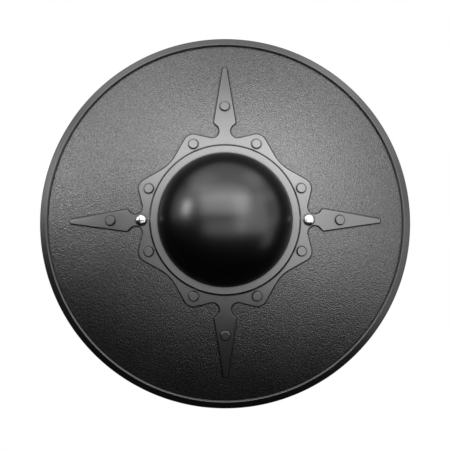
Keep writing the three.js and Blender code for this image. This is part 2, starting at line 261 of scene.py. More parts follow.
def spin_chain(mesh: BMesh, profile: Sequence[Point], steps: int, closed: bool) -> None:
    """Turns a profile about Z inside a mesh.

    Args:
        mesh: The mesh to add to.
        profile: Points of radius and height.
        steps: Facets round the axis.
        closed: Whether the profile's last point joins its first.
    """
    verts = chain(mesh, [(radius, 0, height) for radius, height in profile])
    edges = [mesh.edges.get(pair) for pair in zip(verts, verts[1:])]
    if closed:
        edges.append(mesh.edges.new((verts[-1], verts[0])))
    bmesh.ops.spin(
        mesh, geom=[*verts, *edges], cent=ORIGIN, axis=UP, angle=TURN, steps=steps, use_merge=True
    )


def spun(profile: Sequence[Point], steps: int, closed: bool = True) -> BMesh:
    """A profile turned about Z into a solid.

    Args:
        profile: Points of radius and height.
        steps: Facets round the axis.
        closed: False for a profile whose two ends lie on the axis.

    Returns:
        The solid, with its faces outwards.
    """
    mesh = bmesh.new()
    spin_chain(mesh, profile, steps, closed)
    mend(mesh)
    return mesh


def round_off(
    mesh: BMesh,
    geometry: Sequence[BMEdge | BMVert],
    width: float,
    segments: int,
    what: Rounding = Rounding.EDGES,
    clamp: bool = False,
) -> None:
    """Rounds edges or corners.

    Args:
        mesh: The mesh that has them.
        geometry: The edges or corners.
        width: Width of the rounding.
        segments: Number of strips in it.
        what: Whether edges or corners are rounded.
        clamp: Whether a short edge narrows the rounding.
    """
    bmesh.ops.bevel(
        mesh,
        geom=geometry,
        offset=width,
        offset_type="OFFSET",
        segments=segments,
        profile=0.5,
        affect=what.value,
        clamp_overlap=clamp,
        material=-1,
    )


def soften(
    mesh: BMesh,
    width: float,
    segments: int = 3,
    sharper: float = math.radians(28),
    zone: Zone = EVERYWHERE,
) -> None:
    """Rounds the sharp edges of a solid.

    Args:
        mesh: The solid.
        width: Width of the rounding.
        segments: Number of strips in it.
        sharper: Smallest angle between faces that counts as sharp.
        zone: Where the middles of the edges have to lie.
    """
    edges = [
        edge
        for edge in mesh.edges
        if len(edge.link_faces) == 2
        and edge.calc_face_angle(0) >= sharper
        and zone.holds((edge.verts[0].co + edge.verts[1].co) / 2)
    ]
    round_off(mesh, edges, width, segments, clamp=True)


def rod(radius: float, low: float, high: float, steps: int = 32) -> BMesh:
    """A round bar along Z.

    Args:
        radius: Its radius at the corners.
        low: Height of its lower end.
        high: Height of its upper end.
        steps: Number of its sides.

    Returns:
        The bar.
    """
    mesh = bmesh.new()
    bmesh.ops.create_cone(
        mesh, cap_ends=True, segments=steps, radius1=radius, radius2=radius, depth=high - low
    )
    bmesh.ops.translate(mesh, verts=mesh.verts, vec=(0, 0, (low + high) / 2))
    return mesh


def block(width: float, low: float, high: float) -> BMesh:
    """A square bar along Z.

    Args:
        width: Its width, both ways.
        low: Height of its lower end.
        high: Height of its upper end.

    Returns:
        The bar.
    """
    mesh = bmesh.new()
    bmesh.ops.create_cube(mesh, size=1)
    bmesh.ops.scale(mesh, vec=(width, width, high - low), verts=mesh.verts)
    bmesh.ops.translate(mesh, verts=mesh.verts, vec=(0, 0, (low + high) / 2))
    return mesh


def ring(hole: float, radius: float, back: float, front: float, steps: int) -> BMesh:
    """A washer with rounded edges.

    Args:
        hole: Radius of its hole.
        radius: Outer radius.
        back: Height of its back.
        front: Height of its front.
        steps: Facets round the axis.

    Returns:
        The washer.
    """
    rounding_share = 0.2
    mesh = spun([(hole, back), (radius, back), (radius, front), (hole, front)], steps)
    soften(mesh, (front - back) * rounding_share, 2)
    return mesh


def thicken(mesh: BMesh, vector: Sequence[float]) -> None:
    """Extrudes a flat outline into a closed solid.

    Args:
        mesh: A mesh with one flat face.
        vector: How far the face goes, and which way.
    """
    grown = bmesh.ops.extrude_face_region(mesh, geom=mesh.faces[:])["geom"]
    far = [item for item in grown if isinstance(item, BMVert)]
    bmesh.ops.translate(mesh, verts=far, vec=vector)
    bmesh.ops.recalc_face_normals(mesh, faces=mesh.faces)


def moved(mesh: BMesh, matrix: Matrix) -> BMesh:
    """Moves a mesh by a matrix and returns it."""
    bmesh.ops.transform(mesh, matrix=matrix, verts=mesh.verts)
    return mesh


def gathered(meshes: Iterable[BMesh]) -> BMesh:
    """Puts several meshes into one.

    Args:
        meshes: The meshes, which are freed.

    Returns:
        The one mesh.
    """
    whole = bmesh.new()
    for mesh in meshes:
        data = bpy.data.meshes.new("passing")
        mesh.to_mesh(data)
        mesh.free()
        whole.from_mesh(data)
        bpy.data.meshes.remove(data)
    return whole


def bench_object(name: str, mesh: BMesh) -> bpy.types.Object:
    """Puts a mesh into the scene.

    Args:
        name: The object's name.
        mesh: The mesh, which is freed.

    Returns:
        The object.
    """
    data = bpy.data.meshes.new(name)
    mesh.to_mesh(data)
    mesh.free()
    made = bpy.data.objects.new(name, data)
    bpy.context.scene.collection.objects.link(made)
    return made


def carved(mesh: BMesh, tool: BMesh, cut: Cut) -> BMesh:
    """Cuts a solid with another.

    Args:
        mesh: The solid, which is freed.
        tool: The other solid, which is freed.
        cut: What to keep.

    Returns:
        The new solid.
    """
    worked = bench_object("worked", mesh)
    tooling = bench_object("tooling", tool)
    step = worked.modifiers.new("cut", "BOOLEAN")
    step.operation = cut.value
    step.solver = "EXACT"
    step.object = tooling
    graph = bpy.context.evaluated_depsgraph_get()
    data = bpy.data.meshes.new_from_object(worked.evaluated_get(graph))
    result = bmesh.new()
    result.from_mesh(data)
    for used in (worked, tooling):
        spare = used.data
        bpy.data.objects.remove(used)
        bpy.data.meshes.remove(spare)
    bpy.data.meshes.remove(data)
    return result


def mark_wear(mesh: BMesh) -> None:
    """Stores on each point how sharp the outward edges beside it are, from 0 to 1.

    Args:
        mesh: The finished mesh of a piece.
    """
    layer = mesh.verts.layers.float.new(WEAR_ATTRIBUTE)
    for vert in mesh.verts:
        bends = [e.calc_face_angle_signed(0) for e in vert.link_edges if len(e.link_faces) == 2]
        sharpest = max(bends, default=0)
        vert[layer] = min(1.0, max(0.0, (sharpest - WEAR_START) / (WEAR_FULL - WEAR_START)))


# Finishes


class Socket(Enum):
    """Kinds of socket on a node group."""

    PLACE = "NodeSocketVector"
    COLOUR = "NodeSocketColor"
    NUMBER = "NodeSocketFloat"


class Maths(Enum):
    """Operations of a maths node."""

    SUBTRACT = "SUBTRACT"
    MULTIPLY = "MULTIPLY"
    MULTIPLY_ADD = "MULTIPLY_ADD"


@dataclass(frozen=True)
class Layers:
    """Finer layers of a noise texture: how many, and how strong."""

    detail: float
    roughness: float


BROAD_DRIFT = Layers(3, 0.55)
FINE_FLECK = Layers(2, 0.6)
SOFT_SWELL = Layers(3, 0.6)
HANDLED_PATCHES = Layers(4, 0.65)
PATCH_CONTRAST = 2.4
PATCH_LEVEL = -0.7
PEBBLE_SMOOTHNESS = 0.6


@dataclass(frozen=True)
class Wiring:
    """A node tree, with short ways to add nodes and join them."""

    tree: bpy.types.NodeTree

    def add(self, kind: str, values: Mapping[str, Value] | None = None) -> bpy.types.Node:
        """Adds a node.

        Args:
            kind: The node's type.
            values: A number, a colour or another node's socket for each named input.

        Returns:
            The node.
        """
        node = self.tree.nodes.new(kind)
        for label, value in (values or {}).items():
            self.feed(node.inputs[label], value)
        return node

    def feed(self, socket: bpy.types.NodeSocket, value: Value) -> None:
        """Gives an input its value.

        Args:
            socket: The input.
            value: A number, a colour or the socket to join it to.
        """
        if isinstance(value, bpy.types.NodeSocket):
            self.tree.links.new(value, socket)
        else:
            socket.default_value = value

    def group(
        self, group: bpy.types.ShaderNodeTree, values: Mapping[str, Value]
    ) -> bpy.types.bpy_prop_collection:
        """Places a node group.

        Args:
            group: The group.
            values: A number, a colour or a socket for each of its inputs.

        Returns:
            Its outputs.
        """
        node = self.tree.nodes.new("ShaderNodeGroup")
        node.node_tree = group
        for label, value in values.items():
            self.feed(node.inputs[label], value)
        return node.outputs

    def maths(
        self, operation: Maths, *values: Value, clamp: bool = False
    ) -> bpy.types.NodeSocket:
        """Adds a maths node.

        Args:
            operation: What it does.
            values: Numbers or sockets for its inputs, in order.
            clamp: Whether the result stays between 0 and 1.

        Returns:
            Its output.
        """
        node = self.tree.nodes.new("ShaderNodeMath")
        node.operation = operation.value
        node.use_clamp = clamp
        for socket, value in zip(node.inputs, values):
            self.feed(socket, value)
        return node.outputs[0]

    def mix(self, share: Value, first: Value, second: Value) -> bpy.types.NodeSocket:
        """Adds a mix of two colours.

        Args:
            share: Share of the second colour.
            first: The first colour.
            second: The second colour.

        Returns:
            The mixed colour.
        """
        node = self.tree.nodes.new("ShaderNodeMix")
        node.data_type = "RGBA"
        node.clamp_factor = True
        colours = [socket for socket in node.inputs if socket.type == "RGBA"]
        for socket, value in zip((node.inputs["Factor"], *colours), (share, first, second)):
            self.feed(socket, value)
        return next(socket for socket in node.outputs if socket.type == "RGBA")

    def noise(self, place: Value, size: Value, layers: Layers) -> bpy.types.NodeSocket:
        """Adds a noise texture.

        Args:
            place: Where the texture is read.
            size: Its cells per metre.
            layers: Its finer layers.

        Returns:
            Its value, from 0 to 1.
        """
        values = {"Vector": place, "Scale": size}
        values |= {"Detail": layers.detail, "Roughness": layers.roughness}
        return self.add("ShaderNodeTexNoise", values).outputs["Fac"]


@dataclass
class Group:
    """A shader node group in the making."""

    name: str
    takes: dict[str, Socket]
    gives: dict[str, Socket]
    tree: bpy.types.ShaderNodeTree = field(init=False)
    wires: Wiring = field(init=False)
    given: bpy.types.bpy_prop_collection = field(init=False)

    def __post_init__(self) -> None:
        """Makes the group with its named sockets."""
        self.tree = bpy.data.node_groups.new(self.name, "ShaderNodeTree")
        for way, sockets in (("INPUT", self.takes), ("OUTPUT", self.gives)):
            for label, kind in sockets.items():
                self.tree.interface.new_socket(label, in_out=way, socket_type=kind.value)
        self.wires = Wiring(self.tree)
        self.given = self.wires.add("NodeGroupInput").outputs

    def closed(self, results: Mapping[str, Value]) -> bpy.types.ShaderNodeTree:
        """Joins the results to the group's outputs and returns the group."""
        self.wires.add("NodeGroupOutput", results)
        return self.tree


def tone_drift_group() -> bpy.types.ShaderNodeTree:
    """Colour and roughness that drift over a surface, with a faint fleck on top.

    Returns:
        The group.
    """
    numbers = ("Drift", "Size", "Fleck", "Fleck size", "Roughness", "Roughness drift")
    group = Group(
        "tone drift",
        {"Place": Socket.PLACE, "Colour": Socket.COLOUR, **dict.fromkeys(numbers, Socket.NUMBER)},
        {"Colour": Socket.COLOUR, "Roughness": Socket.NUMBER},
    )
    given, wires = group.given, group.wires
    broad = wires.noise(given["Place"], given["Size"], BROAD_DRIFT)
    fine = wires.noise(given["Place"], given["Fleck size"], FINE_FLECK)
    broad_swing = wires.maths(Maths.SUBTRACT, broad, 0.5)
    fine_swing = wires.maths(Maths.SUBTRACT, fine, 0.5)
    drift = wires.maths(Maths.MULTIPLY_ADD, broad_swing, given["Drift"], 1.0)
    gain = wires.maths(Maths.MULTIPLY_ADD, fine_swing, given["Fleck"], drift)
    scaled = wires.add("ShaderNodeVectorMath")
    scaled.operation = "SCALE"
    wires.feed(scaled.inputs[0], given["Colour"])
    wires.feed(scaled.inputs["Scale"], gain)
    rough = wires.maths(
        Maths.MULTIPLY_ADD, broad_swing, given["Roughness drift"], given["Roughness"], clamp=True
    )
    return group.closed({"Colour": scaled.outputs[0], "Roughness": rough})


def pebble_group() -> bpy.types.ShaderNodeTree:
    """Height of a moulded pebble grain, with a softer swell under it.

    Returns:
        The group.
    """
    numbers = ("Grain size", "Swell size", "Swell")
    group = Group(
        "pebble grain",
        {"Place": Socket.PLACE, **dict.fromkeys(numbers, Socket.NUMBER)},
        {"Height": Socket.NUMBER},
    )
    given, wires = group.given, group.wires
    cells = wires.add("ShaderNodeTexVoronoi")
    cells.feature = "SMOOTH_F1"
    for label, value in (
        ("Vector", given["Place"]),
        ("Scale", given["Grain size"]),
        ("Smoothness", PEBBLE_SMOOTHNESS),
        ("Randomness", 1.0),
    ):
        wires.feed(cells.inputs[label], value)
    rounded = wires.maths(Maths.SUBTRACT, 1.0, cells.outputs["Distance"])
    swell = wires.noise(given["Place"], given["Swell size"], SOFT_SWELL)
    return group.closed(
        {"Height": wires.maths(Maths.MULTIPLY_ADD, swell, given["Swell"], rounded)}
    )


def handled_edge_group() -> bpy.types.ShaderNodeTree:
    """Mask of the outward edges that handling has polished, broken up by noise.

    Returns:
        The group.
    """
    numbers = ("Edge", "Amount", "Patch size")
    group = Group(
        "handled edges",
        {"Place": Socket.PLACE, **dict.fromkeys(numbers, Socket.NUMBER)},
        {"Mask": Socket.NUMBER},
    )
    given, wires = group.given, group.wires
    patches = wires.noise(given["Place"], given["Patch size"], HANDLED_PATCHES)
    lifted = wires.maths(Maths.MULTIPLY_ADD, patches, PATCH_CONTRAST, PATCH_LEVEL, clamp=True)
    worn = wires.maths(Maths.MULTIPLY, given["Edge"], lifted)
    return group.closed({"Mask": wires.maths(Maths.MULTIPLY, worn, given["Amount"], clamp=True)})


@dataclass
class Groups:
    """The node groups that the finishes share, each built once."""

    drift: bpy.types.ShaderNodeTree = field(default_factory=tone_drift_group)
    pebble: bpy.types.ShaderNodeTree = field(default_factory=pebble_group)
    edges: bpy.types.ShaderNodeTree = field(default_factory=handled_edge_group)


@dataclass(frozen=True)
class Finish:
    """One surface finish: its colours, gloss and grain.

    Sizes of patterns are in cells per metre, and depths and reaches are in metres.
    """

    name: str
    slot: str
    colour: Colour
    metallic: float = 0.0
    roughness: float = 0.5
    roughness_drift: float = 0.08
    drift: float = 0.12
    drift_size: float = 14.0
    fleck: float = 0.06
    fleck_size: float = 700.0
    grain_size: float = 900.0
    swell_size: float = 260.0
    swell: float = 0.4
    grain_depth: float = 0.00004
    grain_strength: float = 0.4
    edge_colour: Colour = (0.2, 0.2, 0.2)
    edge_amount: float = 0.35
    edge_roughness: float = 0.32
    patch_size: float = 60.0
    grazing_tint: float = 1.0
    # Painted shade: how strongly, how far and with how many samples ambient occlusion darkens the
    # colour beside neighbouring pieces.
    painted_shade_strength: float = 0.0
    painted_shade_reach: float = 0.004
    painted_shade_samples: int = 8

    def painted_seam_shade(
        self, wires: Wiring, colour: bpy.types.NodeSocket
    ) -> bpy.types.NodeSocket:
        """Paints shade into a colour: darkens it towards black where a neighbouring piece is close,
        as an ambient occlusion shadow would.

        Args:
            wires: The material's node tree.
            colour: The colour's socket.

        Returns:
            The socket of the darkened colour.
        """
        # Painted shade: the share of occlusion within the reach blackens the base colour.
        closeness = wires.add("ShaderNodeAmbientOcclusion", {"Distance": self.painted_shade_reach})
        closeness.samples = self.painted_shade_samples
        covered = wires.maths(Maths.SUBTRACT, 1.0, closeness.outputs["AO"])
        share = wires.maths(Maths.MULTIPLY, covered, self.painted_shade_strength, clamp=True)
        return wires.mix(share, colour, BLACK)

    def grain(
        self, wires: Wiring, groups: Groups, place: bpy.types.NodeSocket
    ) -> bpy.types.NodeSocket:
        """Bumps the surface with its grain.

        Args:
            wires: The material's node tree.
            groups: The shared node groups.
            place: The socket of the object's coordinates.

        Returns:
            The socket of the bumped normal.
        """
        values = {
            "Place": place,
            "Grain size": self.grain_size,
            "Swell size": self.swell_size,
            "Swell": self.swell,
        }
        bump = {
            "Strength": self.grain_strength,
            "Distance": self.grain_depth,
            "Height": wires.group(groups.pebble, values)["Height"],
        }
        return wires.add("ShaderNodeBump", bump).outputs["Normal"]

    def material(self, groups: Groups) -> bpy.types.Material:
        """Builds the finish as a material.

        Args:
            groups: The shared node groups.

        Returns:
            The material.
        """
        material = bpy.data.materials.new(self.name)
        material.use_nodes = True
        material.node_tree.nodes.clear()
        wires = Wiring(material.node_tree)
        place = wires.add("ShaderNodeTexCoord").outputs["Object"]
        drift = wires.group(
            groups.drift,
            {
                "Place": place,
                "Colour": (*self.colour, 1),
                "Drift": self.drift,
                "Size": self.drift_size,
                "Fleck": self.fleck,
                "Fleck size": self.fleck_size,
                "Roughness": self.roughness,
                "Roughness drift": self.roughness_drift,
            },
        )
        wear = wires.add("ShaderNodeAttribute")
        wear.attribute_name = WEAR_ATTRIBUTE
        mask = wires.group(
            groups.edges,
            {
                "Place": place,
                "Edge": wear.outputs["Fac"],
                "Amount": self.edge_amount,
                "Patch size": self.patch_size,
            },
        )["Mask"]
        colour = wires.mix(mask, drift["Colour"], (*self.edge_colour, 1))
        # Painted shade beside neighbouring pieces, for finishes that have it.
        if self.painted_shade_strength > 0:
            colour = self.painted_seam_shade(wires, colour)
        softer = wires.maths(Maths.SUBTRACT, self.edge_roughness, drift["Roughness"])
        shader = wires.add(
            "ShaderNodeBsdfPrincipled",
            {
                "Base Color": colour,
                "Metallic": self.metallic,
                "Roughness": wires.maths(Maths.MULTIPLY_ADD, softer, mask, drift["Roughness"]),
                "Normal": self.grain(wires, groups, place),
                "Specular Tint": (*[self.grazing_tint] * 3, 1),
            },
        )
        wires.add("ShaderNodeOutputMaterial", {"Surface": shader.outputs[0]})
        return material


PEBBLED_FACE = Finish(
    name="pebbled dark face",
    slot="face",
    colour=(0.154, 0.151, 0.152),
    metallic=1.0,
    roughness=0.37,
    grain_size=620,
    swell_size=300,
    grain_depth=0.00042,
    grain_strength=1.0,
    drift=0.08,
    fleck=2.0,
    fleck_size=620,
    edge_amount=0.0,
    # Painted shade: darkens the face where it meets the plate, the boss and the rim.
    painted_shade_strength=1.8,
    painted_shade_reach=0.0025,
)
SATIN_RIM = Finish(
    name="satin dark rim",
    slot="rim",
    colour=(0.158, 0.156, 0.157),
    metallic=1.0,
    roughness=0.36,
    edge_colour=(0.17, 0.17, 0.17),
    # Painted shade: darkens the rim where it meets the face.
    painted_shade_strength=1.4,
)
SATIN_PLATE = Finish(
    name="satin grey plate",
    slot="plate",
    colour=(0.215, 0.213, 0.214),
    metallic=1.0,
    roughness=0.37,
    edge_colour=(0.22, 0.22, 0.22),
    # Painted shade: darkens the plate beside the collar, the rivets, the bolts and the face.
    painted_shade_strength=1.5,
    painted_shade_reach=0.003,
)
SATIN_RIVET = replace(
    SATIN_PLATE,
    name="satin grey rivet",
    slot="rivet",
    roughness=0.38,
    # Painted shade: dark outline round each rivet head.
    painted_shade_strength=2.2,
    painted_shade_reach=0.004,
)
GLOSS_BOSS = Finish(
    name="soft gloss black boss",
    slot="boss",
    colour=(0.088, 0.086, 0.086),
    metallic=1.0,
    roughness=0.31,
    roughness_drift=0.03,
    drift=0.04,
    fleck=0.0,
    grazing_tint=0.6,
    # Painted shade: darkens the dome's foot beside the collar.
    painted_shade_strength=1.2,
    painted_shade_reach=0.006,
    grain_depth=0.00001,
    grain_strength=0.04,
    edge_amount=0.0,
)
POLISHED_STEEL = Finish(
    name="polished steel",
    slot="bolt_steel",
    colour=(0.82, 0.82, 0.82),
    metallic=1.0,
    roughness=0.2,
    roughness_drift=0.06,
    drift=0.05,
    grain_depth=0.00001,
    grain_strength=0.1,
    edge_colour=(0.88, 0.88, 0.88),
    edge_roughness=0.2,
    # Painted shade: dark ring round each bolt head where it meets the plate.
    painted_shade_strength=4.0,
    painted_shade_reach=0.003,
)
PLATED_STEEL = Finish(
    name="plated steel",
    slot="washer_steel",
    colour=(0.55, 0.55, 0.54),
    metallic=1.0,
    roughness=0.34,
    drift=0.25,
    drift_size=120,
    edge_colour=(0.7, 0.7, 0.7),
)
BLACK_COAT = Finish(
    name="black powder coat",
    slot="bar",
    colour=(0.022, 0.022, 0.022),
    roughness=0.42,
    grain_size=1400,
    grain_depth=0.00006,
    grain_strength=0.5,
    edge_colour=(0.08, 0.08, 0.08),
    edge_amount=0.5,
)
RIBBED_GRIP = Finish(
    name="matt black grip",
    slot="grip",
    colour=(0.018, 0.018, 0.018),
    roughness=0.62,
    grain_size=1600,
    grain_depth=0.00008,
    grain_strength=0.6,
    edge_colour=(0.035, 0.035, 0.035),
    edge_amount=0.3,
)


# Finished pieces


@dataclass
class Workshop:
    """Finishes meshes into pieces of the scene, and keeps the materials."""

    groups: Groups = field(default_factory=Groups)
    materials: dict[str, bpy.types.Material] = field(default_factory=dict)
    count: int = 0

    def dressed(self, finish: Finish) -> bpy.types.Material:
        """The material of a finish, built at its first use.

        Args:
            finish: The finish.

        Returns:
            Its material.
        """
        if finish.name not in self.materials:
            self.materials[finish.name] = finish.material(self.groups)
        return self.materials[finish.name]

    def finish(self, mesh: BMesh, node: str, finish: Finish) -> None:
        """Turns a mesh into a finished piece that stands for a node.

        Args:
            mesh: The mesh in the shield's frame, which is freed.
            node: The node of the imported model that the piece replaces.
            finish: The piece's finish.
        """
        mark_wear(mesh)
        moved(mesh, TO_PART)
        piece = bench_object(f"{node}_finished", mesh)
        piece.data.materials.append(self.dressed(finish))
        piece.data.shade_smooth()
        piece.data.set_sharp_from_angle(angle=SHARP_ANGLE)
        weighting = piece.modifiers.new("weighted normals", "WEIGHTED_NORMAL")
        weighting.keep_sharp = True
        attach(piece, "root")
        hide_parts(node)
        self.count += 1
        log.info("%s: %d faces, %s", piece.name, len(piece.data.polygons), finish.name)


# Sub-assemblies


@dataclass
class Fasteners:
    """Places of the rivets and bolts, and the holes that they need."""

    dish: Dish
    rivet_circle: float = 110.4
    arm_rivet_circle: float = 154.3
    bolt_circle: float = 112.2
    lobe_count: int = 8
    arm_count: int = 4
    rivet_radius: float = 2.5
    bolt_radius: float = 3.0

    @property
    def rivet_hole(self) -> float:
        """Radius of the rivets' holes."""
        return self.rivet_radius + self.dish.seat_gap

    @property
    def bolt_hole(self) -> float:
        """Radius of the bolts' holes."""
        return self.bolt_radius + self.dish.seat_gap

    def rivet_places(self) -> list[tuple[str, Matrix]]:
        """Number and matrix of each rivet, those of the lobes first.

        Returns:
            The pairs, in order.
        """
        lobes = [(self.rivet_circle, (i + 0.5) / self.lobe_count) for i in range(self.lobe_count)]
        arms = [(self.arm_rivet_circle, i / self.arm_count) for i in range(self.arm_count)]
        return [
            (f"{number:02d}", self.dish.lean(self.dish.tilt(radius), share * TURN))
            for number, (radius, share) in enumerate([*lobes, *arms], start=1)
        ]

    def bolt_places(self) -> list[tuple[str, Matrix]]:
        """Side and matrix of each bolt."""
        tilt = self.dish.tilt(self.bolt_circle)
        return [(side.word, self.dish.lean(tilt, side.angle)) for side in Side]

    def rivet_holes(self) -> list[BMesh]:
        """Rods that cut the rivets' holes through the shell and the plate."""
        low, high = self.dish.shell_back - OVERRUN, self.dish.plate_front + OVERRUN
        return [moved(rod(self.rivet_hole, low, high), at) for _, at in self.rivet_places()]

    def bolt_holes(self, level_low: float, level_high: float) -> list[BMesh]:
        """Rods that cut the bolts' round holes between two levels."""
        low, high = level_low - OVERRUN, level_high + OVERRUN
        return [moved(rod(self.bolt_hole, low, high), at) for _, at in self.bolt_places()]

    def neck_holes(self) -> list[BMesh]:
        """Square bars that cut the holes for the bolts' necks in the plate."""
        low, high = self.dish.plate_back - OVERRUN, self.dish.plate_front + OVERRUN
        return [moved(block(2 * self.bolt_hole, low, high), at) for _, at in self.bolt_places()]


@dataclass
class FaceShell:
    """The dished face, one pebbled shell with a hole behind the boss."""

    dish: Dish
    fasteners: Fasteners
    opening_radius: float = 86.0
    edge_round: float = 0.5
    arc_steps: int = 26
    steps: int = 192

    def build(self) -> BMesh:
        """Turns the shell's wall and drills it.

        Returns:
            The shell.
        """
        dish = self.dish
        front = dish.arc(dish.shell_front, self.opening_radius, dish.shell_radius, self.arc_steps)
        back = dish.arc(dish.shell_back, self.opening_radius, dish.shell_radius, self.arc_steps)
        mesh = spun([*front, *reversed(back)], self.steps)
        soften(mesh, self.edge_round, segments=2)
        holes = self.fasteners.bolt_holes(dish.shell_back, dish.shell_front)
        return carved(mesh, gathered([*self.fasteners.rivet_holes(), *holes]), Cut.AWAY)

    def dress(self, shop: Workshop) -> None:
        """Finishes the shell."""
        shop.finish(self.build(), "face_shell", PEBBLED_FACE)


@dataclass
class RimBinding:
    """The raised band round the edge, a channel that holds the shell."""

    dish: Dish
    width: float = 11.0
    rise: float = 2.6
    inner_slope: float = 2.2
    lip: float = 0.5
    outer_height: float = 7.3
    outer_round: float = 1.3
    crest_round: float = 0.5
    crest_reach: float = 0.5
    crest_angle: float = math.radians(20)
    slot_steps: int = 2
    round_steps: int = 4
    steps: int = 256
    facet_slack: float = 0.05

    def build(self) -> BMesh:
        """Turns the band's section and rounds its edges.

        Returns:
            The band.
        """
        dish = self.dish
        inner = SHIELD_RADIUS - self.width
        slot = dish.shell_radius + dish.seat_gap
        face = dish.height(dish.shell_front, inner)
        slot_front = dish.arc(dish.shell_front + dish.seat_gap, inner, slot, self.slot_steps)
        slot_back = dish.arc(dish.shell_back - dish.seat_gap, inner, slot, self.slot_steps)
        crest = inner + self.inner_slope
        profile = [
            (inner, 0),
            (SHIELD_RADIUS, 0),
            (SHIELD_RADIUS, self.outer_height),
            (crest, face + self.rise),
            (inner, face + dish.seat_gap + self.lip),
            *slot_front,
            *reversed(slot_back),
        ]
        mesh = spun(profile, self.steps)
        outside = Zone(inner=SHIELD_RADIUS - self.facet_slack)
        soften(mesh, self.outer_round, self.round_steps, zone=outside)
        reach = self.crest_reach
        near_crest = Zone(crest - reach, crest + reach, face + self.rise / 2)
        soften(mesh, self.crest_round, self.round_steps, self.crest_angle, near_crest)
        return mesh

    def dress(self, shop: Workshop) -> None:
        """Finishes the band."""
        shop.finish(self.build(), "rim_binding", SATIN_RIM)


@dataclass
class Boss:
    """The domed boss, with a flange under the plate's collar."""

    dish: Dish
    radius: float = 89.5
    height: float = 76.0
    thickness: float = 3.5
    flange_width: float = 8.5
    flange_steps: int = 2
    dome_steps: int = 40
    steps: int = 192

    def dome(self, radius: float, height: float) -> list[Point]:
        """Half of an ellipse, from its top on the axis down to its root.

        Args:
            radius: Its radius at the root.
            height: Its height over the root.

        Returns:
            Points of radius and height.
        """
        root = self.dish.height(self.dish.collar_front, self.radius)
        return [
            (radius * math.cos(turn), root + height * math.sin(turn))
            for turn in reversed(quarter_turn(self.dome_steps))
        ]

    def build(self) -> BMesh:
        """Turns the boss's wall.

        Returns:
            The boss.
        """
        dish = self.dish
        inner = self.radius - self.thickness
        flange = self.radius + self.flange_width
        outside = self.dome(self.radius, self.height)
        inside = self.dome(inner, self.height - self.thickness)
        profile = [
            (0.0, outside[0][1]),
            *outside[1:],
            *dish.arc(dish.flange_front, self.radius, flange, self.flange_steps),
            *dish.arc(dish.plate_back, flange, inner, self.flange_steps),
            *reversed(inside[1:]),
            (0.0, inside[0][1]),
        ]
        return spun(profile, self.steps, closed=False)

    def dress(self, shop: Workshop) -> None:
        """Finishes the boss."""
        shop.finish(self.build(), "boss_dome", GLOSS_BOSS)


